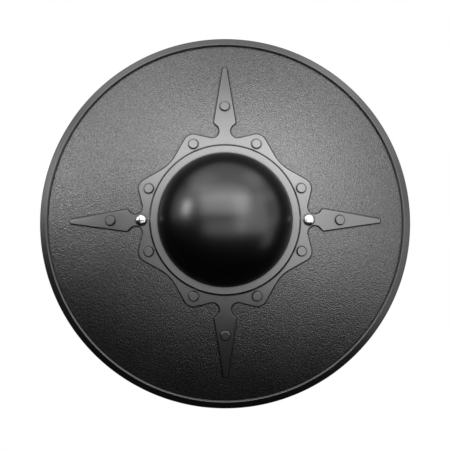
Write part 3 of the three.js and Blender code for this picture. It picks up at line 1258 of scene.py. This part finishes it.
@dataclass
class StarPlate:
    """The plate that holds the boss: a collar, eight lobes and four pointed arms."""

    dish: Dish
    fasteners: Fasteners
    collar_radius: float = 101.7
    collar_draft: float = 2.2
    collar_round: float = 0.4
    hole_radius: float = 89.8
    recess_radius: float = 98.3
    collar_crest: float = 0.55
    lobe_radius: float = 14.6
    valley_wall: float = 5.4
    valley_radius: float = 50.0
    neck_width: float = 16.2
    notch_radius: float = 9.3
    notch_rise: float = 9.9
    arm_width: float = 31.4
    shoulder_angle: float = math.radians(41)
    tip_radius: float = 211.7
    tip_width: float = 6.2
    corner_angle: float = math.radians(150)
    corner_round: float = 1.7
    edge_draft: float = 0.95
    edge_round: float = 0.35
    edge_steps: int = 3
    notch_steps: int = 22
    lobe_steps: int = 18
    valley_steps: int = 8
    collar_steps: int = 180
    cell: float = 7.0
    cell_snap: float = 0.05

    @property
    def half_lobe(self) -> float:
        """Angle from an arm to the lobe beside it."""
        return TURN / self.fasteners.lobe_count / 2

    @property
    def half_arm(self) -> float:
        """Angle from an arm to the valley halfway to the next."""
        return TURN / self.fasteners.arm_count / 2

    @property
    def notch(self) -> Vector:
        """Middle of the notch beside the neck of the arm along +X."""
        along = self.fasteners.rivet_circle + self.notch_rise
        return Vector((along, self.neck_width / 2 + self.notch_radius, 0))

    @property
    def lobe(self) -> Vector:
        """Middle of the lobe beside that arm."""
        return heading(self.half_lobe) * self.fasteners.rivet_circle

    @property
    def valley(self) -> Vector:
        """Middle of the arc between that lobe and the next."""
        return heading(self.half_arm) * (self.collar_radius + self.valley_wall + self.valley_radius)

    @property
    def shoulder(self) -> Vector:
        """Finds the arm's widest corner.

        Returns:
            Its place in plan.
        """
        leaves = self.notch + self.notch_radius * heading(-self.shoulder_angle)
        half = self.arm_width / 2
        return Vector((leaves.x + (half - leaves.y) * math.tan(self.shoulder_angle), half, 0))

    @staticmethod
    def touch(
        first: Vector, first_radius: float, second: Vector, second_radius: float, way: int
    ) -> float:
        """Angle about the first of two circles where a line that crosses between them touches.

        Args:
            first: Middle of the first circle.
            first_radius: Its radius.
            second: Middle of the second circle.
            second_radius: Its radius.
            way: 1 or -1, for the line on the one side or the other.

        Returns:
            The angle.
        """
        between = second - first
        reach = (first_radius + second_radius) / between.length
        return math.atan2(between.y, between.x) + way * math.acos(reach)

    def draw_half_arm(self, mesh: BMesh) -> None:
        """Draws the outline from the tip of an arm to the bottom of a valley.

        Args:
            mesh: The mesh to draw in.
        """
        notch, lobe, valley = self.notch, self.lobe, self.valley
        leaves_notch = self.touch(notch, self.notch_radius, lobe, self.lobe_radius, 1)
        leaves_lobe = self.touch(lobe, self.lobe_radius, valley, self.valley_radius, -1)
        enters_valley, valley_bottom = leaves_lobe + math.pi, self.half_arm + math.pi
        arcs = [
            (notch, self.notch_radius, -self.shoulder_angle, leaves_notch, -1, self.notch_steps),
            (lobe, self.lobe_radius, leaves_notch + math.pi, leaves_lobe, 1, self.lobe_steps),
            (valley, self.valley_radius, enters_valley, valley_bottom, -1, self.valley_steps),
        ]
        tip = [(self.tip_radius, 0, 0), (self.tip_radius, self.tip_width / 2, 0)]
        last = chain(mesh, [*tip, self.shoulder])[-1]
        for middle, radius, start, end, way, steps in arcs:
            sweep = (end - start) % TURN if way > 0 else -((start - end) % TURN)
            last = bmesh.ops.extrude_vert_indiv(mesh, verts=[last])["verts"][0]
            last.co = middle + radius * heading(start)
            swung = bmesh.ops.spin(
                mesh, geom=[last], cent=middle, axis=UP, angle=sweep, steps=steps
            )
            last = next(item for item in swung["geom_last"] if isinstance(item, BMVert))

    def draw_outline(self, mesh: BMesh) -> BMFace:
        """Draws the whole star as one flat face.

        Args:
            mesh: An empty mesh.

        Returns:
            The face, which looks up.
        """
        arms = self.fasteners.arm_count
        self.draw_half_arm(mesh)
        for edge in [e for e in mesh.edges if e.calc_length() > self.cell]:
            cuts = int(edge.calc_length() / self.cell)
            bmesh.ops.subdivide_edges(mesh, edges=[edge], cuts=cuts)
        half = [*mesh.verts, *mesh.edges]
        bmesh.ops.mirror(mesh, geom=half, axis="Y", merge_dist=WELD)
        bmesh.ops.spin(
            mesh,
            geom=[*mesh.verts, *mesh.edges],
            cent=ORIGIN,
            axis=UP,
            angle=TURN * (arms - 1) / arms,
            steps=arms - 1,
            use_duplicate=True,
        )
        bmesh.ops.remove_doubles(mesh, verts=mesh.verts, dist=WELD)
        face = bmesh.ops.contextual_create(mesh, geom=mesh.edges[:])["faces"][0]
        face.normal_update()
        if face.normal.z < 0:
            face.normal_flip()
        corners = [loop.vert for loop in face.loops if loop.calc_angle() < self.corner_angle]
        round_off(mesh, corners, self.corner_round, self.edge_steps, Rounding.CORNERS)
        return next(iter(mesh.faces))

    def raise_edge(self, mesh: BMesh, face: BMFace) -> None:
        """Gives the flat star its wall and the rounded edge of its front.

        Args:
            mesh: The mesh that holds the star.
            face: The star's face.
        """
        grown = bmesh.ops.extrude_face_region(mesh, geom=[face])["geom"]
        top = next(item for item in grown if isinstance(item, BMFace))
        foot = self.edge_round
        bmesh.ops.translate(mesh, verts=top.verts, vec=(0, 0, foot))
        turns = quarter_turn(self.edge_steps)
        strips = [(self.edge_draft, self.dish.plate_thickness - self.edge_round - foot)]
        for before, after in zip(turns, turns[1:]):
            inward = self.edge_round * (math.cos(before) - math.cos(after))
            strips.append((inward, self.edge_round * (math.sin(after) - math.sin(before))))
        for inward, rise in strips:
            bmesh.ops.inset_region(
                mesh,
                faces=[top],
                thickness=inward,
                depth=rise,
                use_boundary=True,
                use_even_offset=True,
            )
        flats = sorted(mesh.faces, key=lambda item: len(item.verts))[-2:]
        bmesh.ops.delete(mesh, geom=flats, context="FACES_ONLY")
        loose = [edge for edge in mesh.edges if not edge.link_faces]
        bmesh.ops.delete(mesh, geom=loose, context="EDGES")

    def turn_collar(self, mesh: BMesh) -> None:
        """Adds the collar's walls, from its recess at the back to its foot in front.

        Args:
            mesh: The mesh to add to.
        """
        dish, rounding = self.dish, self.collar_round
        under = dish.collar_back - dish.plate_back
        front = dish.collar_front - dish.plate_back - rounding
        crest = front + self.collar_crest
        inner = self.hole_radius + rounding
        outer = self.collar_radius - self.collar_draft - rounding
        turns = quarter_turn(self.edge_steps)
        profile = [
            (self.recess_radius, 0),
            (self.recess_radius, under),
            (self.hole_radius, under),
            *[(inner - rounding * math.cos(t), front + rounding * math.sin(t)) for t in turns],
            *[(outer + rounding * math.sin(t), crest + rounding * math.cos(t)) for t in turns],
            (self.collar_radius, dish.plate_thickness),
        ]
        spin_chain(mesh, profile, self.collar_steps, closed=False)

    def fill_flats(self, mesh: BMesh) -> None:
        """Fills the flats between the star's outline and the collar, in small cells.

        Args:
            mesh: The mesh with its open rings.
        """
        open_edges = [edge for edge in mesh.edges if edge.is_boundary]
        middle = self.dish.plate_thickness / 2
        flats: list[BMFace] = []
        for upper, normal in ((False, (0, 0, -1)), (True, UP)):
            rings = [edge for edge in open_edges if (edge.verts[0].co.z > middle) == upper]
            made = bmesh.ops.triangle_fill(
                mesh, use_beauty=True, use_dissolve=False, edges=rings, normal=normal
            )
            flats += [item for item in made["geom"] if isinstance(item, BMFace)]
        reach = int(self.tip_radius / self.cell) + 1
        for axis in (Vector((1, 0, 0)), Vector((0, 1, 0))):
            for step in range(-reach, reach + 1):
                flats = [face for face in flats if face.is_valid]
                around = dict.fromkeys(item for f in flats for item in (*f.edges, *f.verts))
                done = bmesh.ops.bisect_plane(
                    mesh,
                    geom=[*flats, *around],
                    dist=self.cell_snap,
                    plane_co=axis * step * self.cell,
                    plane_no=axis,
                )
                cut = [item for item in done["geom"] if isinstance(item, BMFace)]
                flats = list(dict.fromkeys([*cut, *flats]))

    def build(self) -> BMesh:
        """Builds the plate flat, then lays it on its layer of the dish.

        Returns:
            The plate.
        """
        mesh = bmesh.new()
        face = self.draw_outline(mesh)
        self.raise_edge(mesh, face)
        self.turn_collar(mesh)
        self.fill_flats(mesh)
        mend(mesh)
        for vert in mesh.verts:
            level = self.dish.plate_back + vert.co.z
            vert.co.z = self.dish.height(level, vert.co.xy.length)
        holes = [*self.fasteners.rivet_holes(), *self.fasteners.neck_holes()]
        return carved(mesh, gathered(holes), Cut.AWAY)

    def dress(self, shop: Workshop) -> None:
        """Finishes the plate."""
        shop.finish(self.build(), "star_plate", SATIN_PLATE)


@dataclass
class Rivets:
    """Twelve flat-topped rivets, each set down on a washer at the back."""

    dish: Dish
    fasteners: Fasteners
    head_radius: float = 7.0
    head_height: float = 2.2
    head_draft: float = 1.2
    head_round: float = 0.35
    head_round_steps: int = 4
    tail_radius: float = 4.2
    tail_height: float = 1.8
    tail_wall: float = 0.5
    tail_crown: float = 0.1
    tail_top_share: float = 1.1
    tail_round: float = 0.3
    washer_radius: float = 5.6
    washer_thickness: float = 1.2
    steps: int = 48

    @property
    def washer_front(self) -> float:
        """Level of the washers' front."""
        return self.dish.shell_back - self.dish.seat_gap

    @property
    def washer_back(self) -> float:
        """Level of the washers' back."""
        return self.washer_front - self.washer_thickness

    def rivet(self) -> BMesh:
        """Turns one rivet along +Z from the dish's centre.

        Returns:
            The rivet.
        """
        shank = self.fasteners.rivet_radius
        tail_front = self.washer_back - self.dish.seat_gap
        tail_back = tail_front - self.tail_height
        head_back = self.dish.plate_front + self.dish.seat_gap
        head_front = head_back + self.head_height
        profile = [
            (0, tail_back),
            (shank * self.tail_top_share, tail_back + self.tail_crown),
            (self.tail_radius, tail_front - self.tail_wall),
            (self.tail_radius, tail_front),
            (shank, tail_front),
            (shank, head_back),
            (self.head_radius, head_back),
            (self.head_radius - self.head_draft, head_front),
            (0, head_front),
        ]
        mesh = spun(profile, self.steps, closed=False)
        head_top = Zone(low=head_back + self.head_height / 2)
        soften(mesh, self.head_round, self.head_round_steps, zone=head_top)
        soften(mesh, self.tail_round, 2, zone=Zone(inner=shank, high=tail_front))
        return mesh

    def washer(self) -> BMesh:
        """One washer along +Z from the dish's centre."""
        hole = self.fasteners.rivet_hole
        return ring(hole, self.washer_radius, self.washer_back, self.washer_front, self.steps)

    def dress(self, shop: Workshop) -> None:
        """Finishes every rivet and washer.

        Args:
            shop: The workshop that finishes them.
        """
        for number, matrix in self.fasteners.rivet_places():
            shop.finish(moved(self.rivet(), matrix), f"rivet_{number}", SATIN_RIVET)
            shop.finish(moved(self.washer(), matrix), f"rivet_washer_{number}", PLATED_STEEL)


@dataclass
class GripBolts:
    """Two domed bolts with square necks, and their washers and nuts."""

    dish: Dish
    fasteners: Fasteners
    foot_back: float
    head_radius: float = 8.1
    head_height: float = 4.0
    head_rim: float = 1.3
    head_draft: float = 1.0
    dome_steps: int = 16
    neck_depth: float = 2.4
    neck_overlap: float = 0.2
    tail_length: float = 6.0
    point_length: float = 0.6
    point_share: float = 0.8
    thread_pitch: float = 1.0
    thread_depth: float = 0.45
    thread_foot: float = 0.15
    thread_foot_share: float = 0.42
    thread_start: float = 0.9
    thread_runout: float = 0.5
    thread_steps: int = 24
    washer_radius: float = 9.0
    washer_thickness: float = 1.6
    across_flats: float = 10.0
    nut_thickness: float = 5.0
    nut_chamfer_share: float = 0.75
    nut_face_share: float = 0.97
    nut_end_slack: float = 0.01
    nut_corner_slack: float = 0.1
    steps: int = 64

    @property
    def washer_front(self) -> float:
        """Level of the washers' front."""
        return self.foot_back - self.dish.seat_gap

    @property
    def washer_back(self) -> float:
        """Level of the washers' back."""
        return self.washer_front - self.washer_thickness

    @property
    def nut_front(self) -> float:
        """Level of the nuts' front."""
        return self.washer_back - self.dish.seat_gap

    @property
    def nut_back(self) -> float:
        """Level of the nuts' back."""
        return self.nut_front - self.nut_thickness

    def thread(self, root: float, low: float, turns: int) -> BMesh:
        """A closed ridge that winds up a bolt.

        Args:
            root: Radius of the bolt's core.
            low: Height where the ridge starts.
            turns: Number of turns.

        Returns:
            The ridge.
        """
        mesh = bmesh.new()
        half = self.thread_pitch * self.thread_foot_share
        sunk = root - self.thread_foot
        corners = [(sunk, 0, low - half), (root + self.thread_depth, 0, low), (sunk, 0, low + half)]
        bmesh.ops.contextual_create(mesh, geom=chain(mesh, corners))
        bmesh.ops.spin(
            mesh,
            geom=[*mesh.verts, *mesh.edges, *mesh.faces],
            cent=ORIGIN,
            axis=UP,
            dvec=(0, 0, self.thread_pitch / self.thread_steps),
            angle=TURN * turns,
            steps=self.thread_steps * turns,
        )
        mend(mesh)
        return mesh

    def bolt(self) -> BMesh:
        """Turns one bolt along +Z from the dish's centre, and adds its neck and thread.

        Returns:
            The bolt.
        """
        radius = self.fasteners.bolt_radius
        core = radius - self.thread_depth
        head_back = self.dish.plate_front + self.dish.seat_gap
        dome_back = head_back + self.head_rim
        dome_radius = self.head_radius - self.head_draft
        dome_height = self.head_height - self.head_rim
        tail = self.nut_back - self.tail_length
        threaded = self.nut_front + self.thread_pitch
        dome = [
            (dome_radius * math.cos(turn), dome_back + dome_height * math.sin(turn))
            for turn in quarter_turn(self.dome_steps)[1:-1]
        ]
        profile = [
            (0, tail),
            (core * self.point_share, tail),
            (core, tail + self.point_length),
            (core, threaded),
            (radius, threaded + self.thread_depth),
            (radius, head_back),
            (self.head_radius, head_back),
            (dome_radius, dome_back),
            *dome,
            (0, head_back + self.head_height),
        ]
        mesh = spun(profile, self.steps, closed=False)
        neck = block(2 * radius, head_back - self.neck_depth, head_back + self.neck_overlap)
        mesh = carved(mesh, neck, Cut.JOIN)
        start = tail + self.thread_start
        turns = int((threaded - start - self.thread_runout) / self.thread_pitch)
        return carved(mesh, self.thread(core, start, turns), Cut.JOIN)

    def nut(self) -> BMesh:
        """Cuts one nut along +Z from the dish's centre, its corners turned off.

        Returns:
            The nut.
        """
        flat = self.across_flats / 2
        corner = flat / math.cos(math.pi / 6)
        drop = (corner - flat) * self.nut_chamfer_share
        face = flat * self.nut_face_share
        outside = corner + self.nut_corner_slack
        low, high = self.nut_back - self.nut_end_slack, self.nut_front + self.nut_end_slack
        chamfer_low, chamfer_high = self.nut_back + drop, self.nut_front - drop
        profile = [(0, low), (face, low), (outside, chamfer_low)]
        profile += [(outside, chamfer_high), (face, high), (0, high)]
        barrel = spun(profile, self.steps, closed=False)
        mesh = carved(rod(corner, self.nut_back, self.nut_front, 6), barrel, Cut.COMMON)
        drill = rod(self.fasteners.bolt_hole, self.nut_back - OVERRUN, self.nut_front + OVERRUN)
        return carved(mesh, drill, Cut.AWAY)

    def washer(self) -> BMesh:
        """One washer along +Z from the dish's centre."""
        hole = self.fasteners.bolt_hole
        return ring(hole, self.washer_radius, self.washer_back, self.washer_front, self.steps)

    def dress(self, shop: Workshop) -> None:
        """Finishes both bolts, washers and nuts.

        Args:
            shop: The workshop that finishes them.
        """
        for word, matrix in self.fasteners.bolt_places():
            shop.finish(moved(self.bolt(), matrix), f"grip_bolt_{word}", POLISHED_STEEL)
            shop.finish(moved(self.washer(), matrix), f"bolt_washer_{word}", PLATED_STEEL)
            shop.finish(moved(self.nut(), matrix), f"bolt_nut_{word}", PLATED_STEEL)


@dataclass
class Grip:
    """The centre grip: a flat bar with bent feet, and two ribbed scales riveted to it."""

    dish: Dish
    fasteners: Fasteners
    bar_width: float = 28.0
    bar_thickness: float = 4.0
    foot_inset: float = 17.0
    foot_overhang: float = 14.0
    foot_end_ease: float = 1.5
    foot_end_steps: int = 96
    bend_round: float = 5.0
    bend_steps: int = 5
    bend_least: float = math.radians(5)
    bend_most: float = math.radians(30)
    bar_round: float = 0.5
    bar_edge_angle: float = math.radians(50)
    scale_length: float = 112.0
    scale_thickness: float = 12.0
    scale_swell: float = 2.4
    scale_end_drop: float = 3.5
    scale_flatness: float = 0.6
    scale_round: float = 0.8
    scale_edge_angle: float = math.radians(60)
    cells_along: int = 104
    cells_across: int = 24
    rib_count: int = 13
    rib_depth: float = 0.7
    rib_pinch_share: float = 0.4
    rib_reach_share: float = 0.82
    rib_fade_power: int = 6
    rivet_radius: float = 3.0
    rivet_spacing: float = 78.0
    rivet_crown: float = 0.6
    rivet_crown_drop: float = 0.15
    rivet_crown_share: float = 0.6
    rivet_steps: int = 32

    @property
    def foot_front(self) -> float:
        """Level of the feet's front, where their corners clear the shell."""
        reach = math.hypot(max(self.foot_inset, self.foot_overhang), self.bar_width / 2)
        return math.sqrt(self.dish.shell_back**2 - reach**2) - self.dish.seat_gap

    @property
    def foot_back(self) -> float:
        """Level of the feet's back."""
        return self.foot_front - self.bar_thickness

    @property
    def scale_back(self) -> float:
        """Distance of the scales' flat backs from the middle of the bar."""
        return self.bar_thickness / 2 + self.dish.seat_gap

    def foot_point(self, level: float, along: float) -> Point:
        """Place of a foot's point in the XZ plane.

        Args:
            level: Distance from the dish's centre along the bolt.
            along: Distance from the bolt towards the rim.

        Returns:
            Its X and height.
        """
        tilt = self.dish.tilt(self.fasteners.bolt_circle)
        x = along * math.cos(tilt) + level * math.sin(tilt)
        return x, self.dish.centre - along * math.sin(tilt) + level * math.cos(tilt)

    def bar_side(self) -> list[Point]:
        """Outlines the bar as seen from the side.

        Returns:
            Points of X and height, the right half first.
        """
        front = self.foot_point(self.foot_front, -self.foot_inset)
        bend_x = self.foot_point(self.foot_back, -self.foot_inset)[0]
        half = [
            (bend_x, front[1] - self.bar_thickness),
            self.foot_point(self.foot_back, self.foot_overhang),
            self.foot_point(self.foot_front, self.foot_overhang),
            front,
        ]
        return [*half, *[(-x, z) for x, z in reversed(half)]]

    def rivet_holes(self) -> list[BMesh]:
        """Makes the rods that cut the grip rivets' holes.

        Returns:
            The two rods.
        """
        reach = self.bar_thickness / 2 + self.scale_thickness + self.scale_swell + OVERRUN
        radius = self.rivet_radius + self.dish.seat_gap
        shift = self.rivet_spacing / 2
        middles = [Matrix.Translation((x, 0, GRIP_HEIGHT)) for x in (shift, -shift)]
        return [moved(rod(radius, -reach, reach), middle) for middle in middles]

    def plan(self) -> BMesh:
        """Outlines the bar as seen from the back, with round ends, as a tall solid.

        Returns:
            The solid.
        """
        mesh = bmesh.new()
        radius = self.bar_width / 2 + self.foot_end_ease
        end = self.foot_point(self.foot_front, self.foot_overhang)[0] - radius
        bmesh.ops.create_circle(mesh, cap_ends=True, segments=self.foot_end_steps, radius=radius)
        for vert in mesh.verts:
            vert.co.x += math.copysign(end, vert.co.x) if abs(vert.co.x) > WELD else 0
        thicken(mesh, (0, 0, GRIP_HEIGHT + self.scale_thickness))
        return mesh

    def bar(self) -> BMesh:
        """Makes the bar, bent, rounded at its ends and drilled.

        Returns:
            The bar.
        """
        mesh = bmesh.new()
        half = self.bar_width / 2
        verts = chain(mesh, [(x, -half, z) for x, z in self.bar_side()])
        bmesh.ops.contextual_create(mesh, geom=verts)
        thicken(mesh, (0, self.bar_width, 0))
        bends = [
            edge
            for edge in mesh.edges
            if abs(edge.verts[0].co.y - edge.verts[1].co.y) > half
            and self.bend_least < edge.calc_face_angle(0) < self.bend_most
        ]
        round_off(mesh, bends, self.bend_round, self.bend_steps)
        mesh = carved(mesh, self.plan(), Cut.COMMON)
        holes = self.fasteners.bolt_holes(self.foot_back, self.foot_front)
        mesh = carved(mesh, gathered([*holes, *self.rivet_holes()]), Cut.AWAY)
        mend(mesh)
        soften(mesh, self.bar_round, 2, self.bar_edge_angle)
        return mesh

    def crown(self, share: float) -> float:
        """Height of a scale above the bar at a share of its length, from -1 to 1."""
        swell = self.scale_swell * math.cos(math.pi / 2 * share) ** 2
        return self.scale_thickness + swell - self.scale_end_drop * share**4

    def rib(self, share: float) -> float:
        """Depth of the ribbing at a share of a scale's length.

        Args:
            share: Share of the length, from -1 to 1.

        Returns:
            The depth, which fades out towards the ends.
        """
        fade = max(0.0, 1 - (share / self.rib_reach_share) ** self.rib_fade_power)
        wave = 0.5 - 0.5 * math.cos(TURN * self.rib_count * (share + 1) / 2)
        return self.rib_depth * fade * wave**2

    def scale(self) -> BMesh:
        """Makes the front scale: a flat-backed grip side, crowned, ribbed and softly ended.

        Returns:
            The scale.
        """
        mesh = bmesh.new()
        bmesh.ops.create_grid(
            mesh, x_segments=self.cells_along, y_segments=self.cells_across, size=1
        )
        for vert in mesh.verts:
            share, across = vert.co.x, vert.co.y
            turn = math.pi * (across + 1) / 2
            rise = max(0.0, math.sin(turn)) ** self.scale_flatness
            top = self.crown(share) - self.rib(share) * rise
            at_edge = abs(across) > 1 - WELD
            width = self.bar_width / 2 - self.rib(share) * self.rib_pinch_share
            vert.co = (
                self.scale_length / 2 * share,
                -width * math.cos(turn),
                self.scale_back + (0 if at_edge else top * rise),
            )
        flat = self.scale_back + WELD
        low = [e for e in mesh.edges if e.is_boundary and all(v.co.z < flat for v in e.verts)]
        sides = [e for way in (1, -1) for e in low if all(v.co.y * way > 0 for v in e.verts)]
        bmesh.ops.bridge_loops(mesh, edges=sides)
        bmesh.ops.holes_fill(mesh, edges=[e for e in mesh.edges if e.is_boundary], sides=0)
        mend(mesh)
        soften(mesh, self.scale_round, sharper=self.scale_edge_angle)
        return mesh

    def placed_scale(self, turn_over: float) -> BMesh:
        """Puts a scale on its side of the bar and drills it for the rivets.

        Args:
            turn_over: Angle that turns the front scale to its side.

        Returns:
            The scale.
        """
        turned = Matrix.Rotation(turn_over, 4, "X")
        mesh = moved(self.scale(), Matrix.Translation((0, 0, GRIP_HEIGHT)) @ turned)
        return carved(mesh, gathered(self.rivet_holes()), Cut.AWAY)

    def rivet(self, x: float) -> BMesh:
        """Turns a grip rivet through the bar and both scales, with low domed ends.

        Args:
            x: Its distance from the middle of the grip.

        Returns:
            The rivet.
        """
        end = self.scale_back + self.crown(x / (self.scale_length / 2))
        half = [
            (self.rivet_radius, end - self.rivet_crown),
            (self.rivet_radius * self.rivet_crown_share, end - self.rivet_crown_drop),
            (0, end),
        ]
        profile = [*[(radius, -z) for radius, z in reversed(half)], *half]
        mesh = spun(profile, self.rivet_steps, closed=False)
        return moved(mesh, Matrix.Translation((x, 0, GRIP_HEIGHT)))

    def dress(self, shop: Workshop) -> None:
        """Finishes the bar, the scales and the rivets.

        Args:
            shop: The workshop that finishes them.
        """
        shop.finish(self.bar(), "grip_bar", BLACK_COAT)
        shop.finish(self.placed_scale(0), "grip_scale_front", RIBBED_GRIP)
        shop.finish(self.placed_scale(math.pi), "grip_scale_back", RIBBED_GRIP)
        for side in Side:
            x = math.copysign(self.rivet_spacing / 2, math.cos(side.angle))
            shop.finish(self.rivet(x), f"grip_rivet_{side.word}", PLATED_STEEL)


# Studio


def direction(azimuth: float, elevation: float) -> Vector:
    """Unit vector out from the shield.

    Args:
        azimuth: Degrees to the right of the shield's front.
        elevation: Degrees above it.

    Returns:
        The vector, in the part's frame.
    """
    across, up = math.radians(azimuth), math.radians(elevation)
    level = math.cos(up)
    return Vector((math.sin(across) * level, -math.cos(across) * level, math.sin(up)))


def looking_back(way: Vector) -> Matrix:
    """Turns a lamp or a camera to look back along a direction."""
    return way.to_track_quat("Z", "Y").to_matrix().to_4x4()


@dataclass(frozen=True)
class Softbox:
    """A soft square lamp that faces the shield.

    Angles are in degrees: the azimuth to the right of the shield's front and the elevation
    above it. The radiance is 1 where its surface would show as plain white.
    """

    name: str
    azimuth: float
    elevation: float
    distance: float
    width: float
    height: float
    radiance: float

    def place(self) -> None:
        """Puts the lamp up, facing the middle of the grip."""
        data = bpy.data.lights.new(self.name, "AREA")
        data.shape = "RECTANGLE"
        data.size = self.width
        data.size_y = self.height
        data.energy = self.radiance * math.pi * self.width * self.height
        way = direction(self.azimuth, self.elevation)
        lamp = bpy.data.objects.new(self.name, data)
        lamp.matrix_world = Matrix.Translation(way * self.distance) @ looking_back(way)
        lamp.visible_camera = False
        bpy.context.scene.collection.objects.link(lamp)


@dataclass
class Studio:
    """The camera, the lamps, the white surroundings and the pale floor."""

    camera_elevation: float = -3.65
    camera_roll: float = 0.17
    camera_distance: float = 2.0
    lens: float = 116.5
    sensor_width: float = 36.0
    shift: Point = (-0.0002, -0.0059)
    aim_depth: float = 0.045
    backdrop_gain: float = 5.0
    backdrop_start: float = -2.75
    room_tone: tuple[float, ...] = (0.004, 0.004, 0.004, 1)
    floor_height: float = -0.62
    floor_reach: float = 1.6
    floor_sides: int = 128
    floor_tone: tuple[float, ...] = (0.8, 0.8, 0.8, 1)
    floor_roughness: float = 0.8
    floor_glow: tuple[float, ...] = (0.6, 0.6, 0.6, 1)
    lamps: tuple[Softbox, ...] = (
        Softbox("front softbox", -1, 21, 0.85, 1.12, 0.42, 2.45),
        Softbox("upper front softbox", -1, 40, 0.85, 1.14, 0.37, 1.8),
        Softbox("low front softbox", -1, -13, 1.0, 1.15, 0.34, 1.0),
        Softbox("top softbox", 0, 76, 1.0, 2.0, 0.75, 0.9),
        Softbox("left softbox", -56, 31, 1.79, 0.85, 1.0, 0.8),
        Softbox("left strip", -61, 15, 1.4, 0.31, 0.42, 7.4),
        Softbox("far left softbox", -82, 20, 1.2, 0.4, 0.8, 0.6),
        Softbox("upper left softbox", -50, 52, 1.1, 0.6, 0.6, 0.5),
        Softbox("right softbox", 41.5, 8.4, 0.9, 0.86, 0.91, 1.32),
        Softbox("low right softbox", 74, -14, 1.2, 0.4, 0.8, 0.7),
        Softbox("upper right softbox", 74, 44, 1.1, 0.6, 0.8, 0.7),
        Softbox("far right softbox", 84, 16, 1.2, 0.4, 0.8, 0.7),
    )

    def place_camera(self) -> None:
        """Puts the camera where the photograph was taken from."""
        data = bpy.data.cameras.new("camera")
        data.lens = self.lens
        data.sensor_width = self.sensor_width
        data.shift_x, data.shift_y = self.shift
        camera = bpy.data.objects.new("camera", data)
        back = direction(0, self.camera_elevation)
        place = Matrix.Translation(Vector((0, self.aim_depth, 0)) + back * self.camera_distance)
        roll = Matrix.Rotation(math.radians(-self.camera_roll), 4, "Z")
        camera.matrix_world = place @ looking_back(back) @ roll
        bpy.context.scene.collection.objects.link(camera)
        bpy.context.scene.camera = camera

    def light_world(self) -> None:
        """Makes the surroundings: a white backdrop behind and a dim room in front."""
        world = bpy.data.worlds.new("studio")
        world.use_nodes = True
        world.node_tree.nodes.clear()
        wires = Wiring(world.node_tree)
        way = wires.add("ShaderNodeTexCoord").outputs["Generated"]
        depth = wires.add("ShaderNodeSeparateXYZ", {"Vector": way}).outputs["Y"]
        behind = wires.maths(
            Maths.MULTIPLY_ADD, depth, self.backdrop_gain, self.backdrop_start, clamp=True
        )
        room = wires.mix(behind, self.room_tone, WHITE)
        seen = wires.add("ShaderNodeLightPath").outputs["Is Camera Ray"]
        shade = wires.add("ShaderNodeBackground", {"Color": wires.mix(seen, room, WHITE)})
        wires.add("ShaderNodeOutputWorld", {"Surface": shade.outputs[0]})
        bpy.context.scene.world = world

    def lay_floor(self) -> None:
        """Lays a pale round floor below the shield, out of the main view."""
        mesh = bmesh.new()
        bmesh.ops.create_circle(
            mesh, cap_ends=True, segments=self.floor_sides, radius=self.floor_reach
        )
        floor = bench_object("floor", mesh)
        floor.location.z = self.floor_height
        floor.visible_glossy = False
        floor.visible_diffuse = False
        material = bpy.data.materials.new("pale floor")
        material.use_nodes = True
        wires = Wiring(material.node_tree)
        seen = wires.add("ShaderNodeLightPath").outputs["Is Camera Ray"]
        for label, value in (
            ("Base Color", self.floor_tone),
            ("Roughness", self.floor_roughness),
            ("Emission Color", wires.mix(seen, BLACK, self.floor_glow)),
            ("Emission Strength", 1.0),
        ):
            wires.feed(material.node_tree.nodes["Principled BSDF"].inputs[label], value)
        floor.data.materials.append(material)

    def set_up(self) -> None:
        """Sets the whole studio up."""
        self.place_camera()
        self.light_world()
        self.lay_floor()
        for lamp in self.lamps:
            lamp.place()
        bpy.context.scene.view_settings.view_transform = "Standard"


def main() -> None:
    """Builds the studio and every sub-assembly in order."""
    logging.basicConfig(level=logging.INFO, format="%(name)s: %(message)s")
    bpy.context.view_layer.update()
    Studio().set_up()
    shop = Workshop()
    dish = Dish()
    fasteners = Fasteners(dish)
    grip = Grip(dish, fasteners)
    for assembly in (
        FaceShell(dish, fasteners),
        RimBinding(dish),
        Boss(dish),
        StarPlate(dish, fasteners),
        Rivets(dish, fasteners),
        GripBolts(dish, fasteners, grip.foot_back),
        grip,
    ):
        assembly.dress(shop)
    log.info("%d pieces are finished", shop.count)


if __name__ == "__main__":
    main()
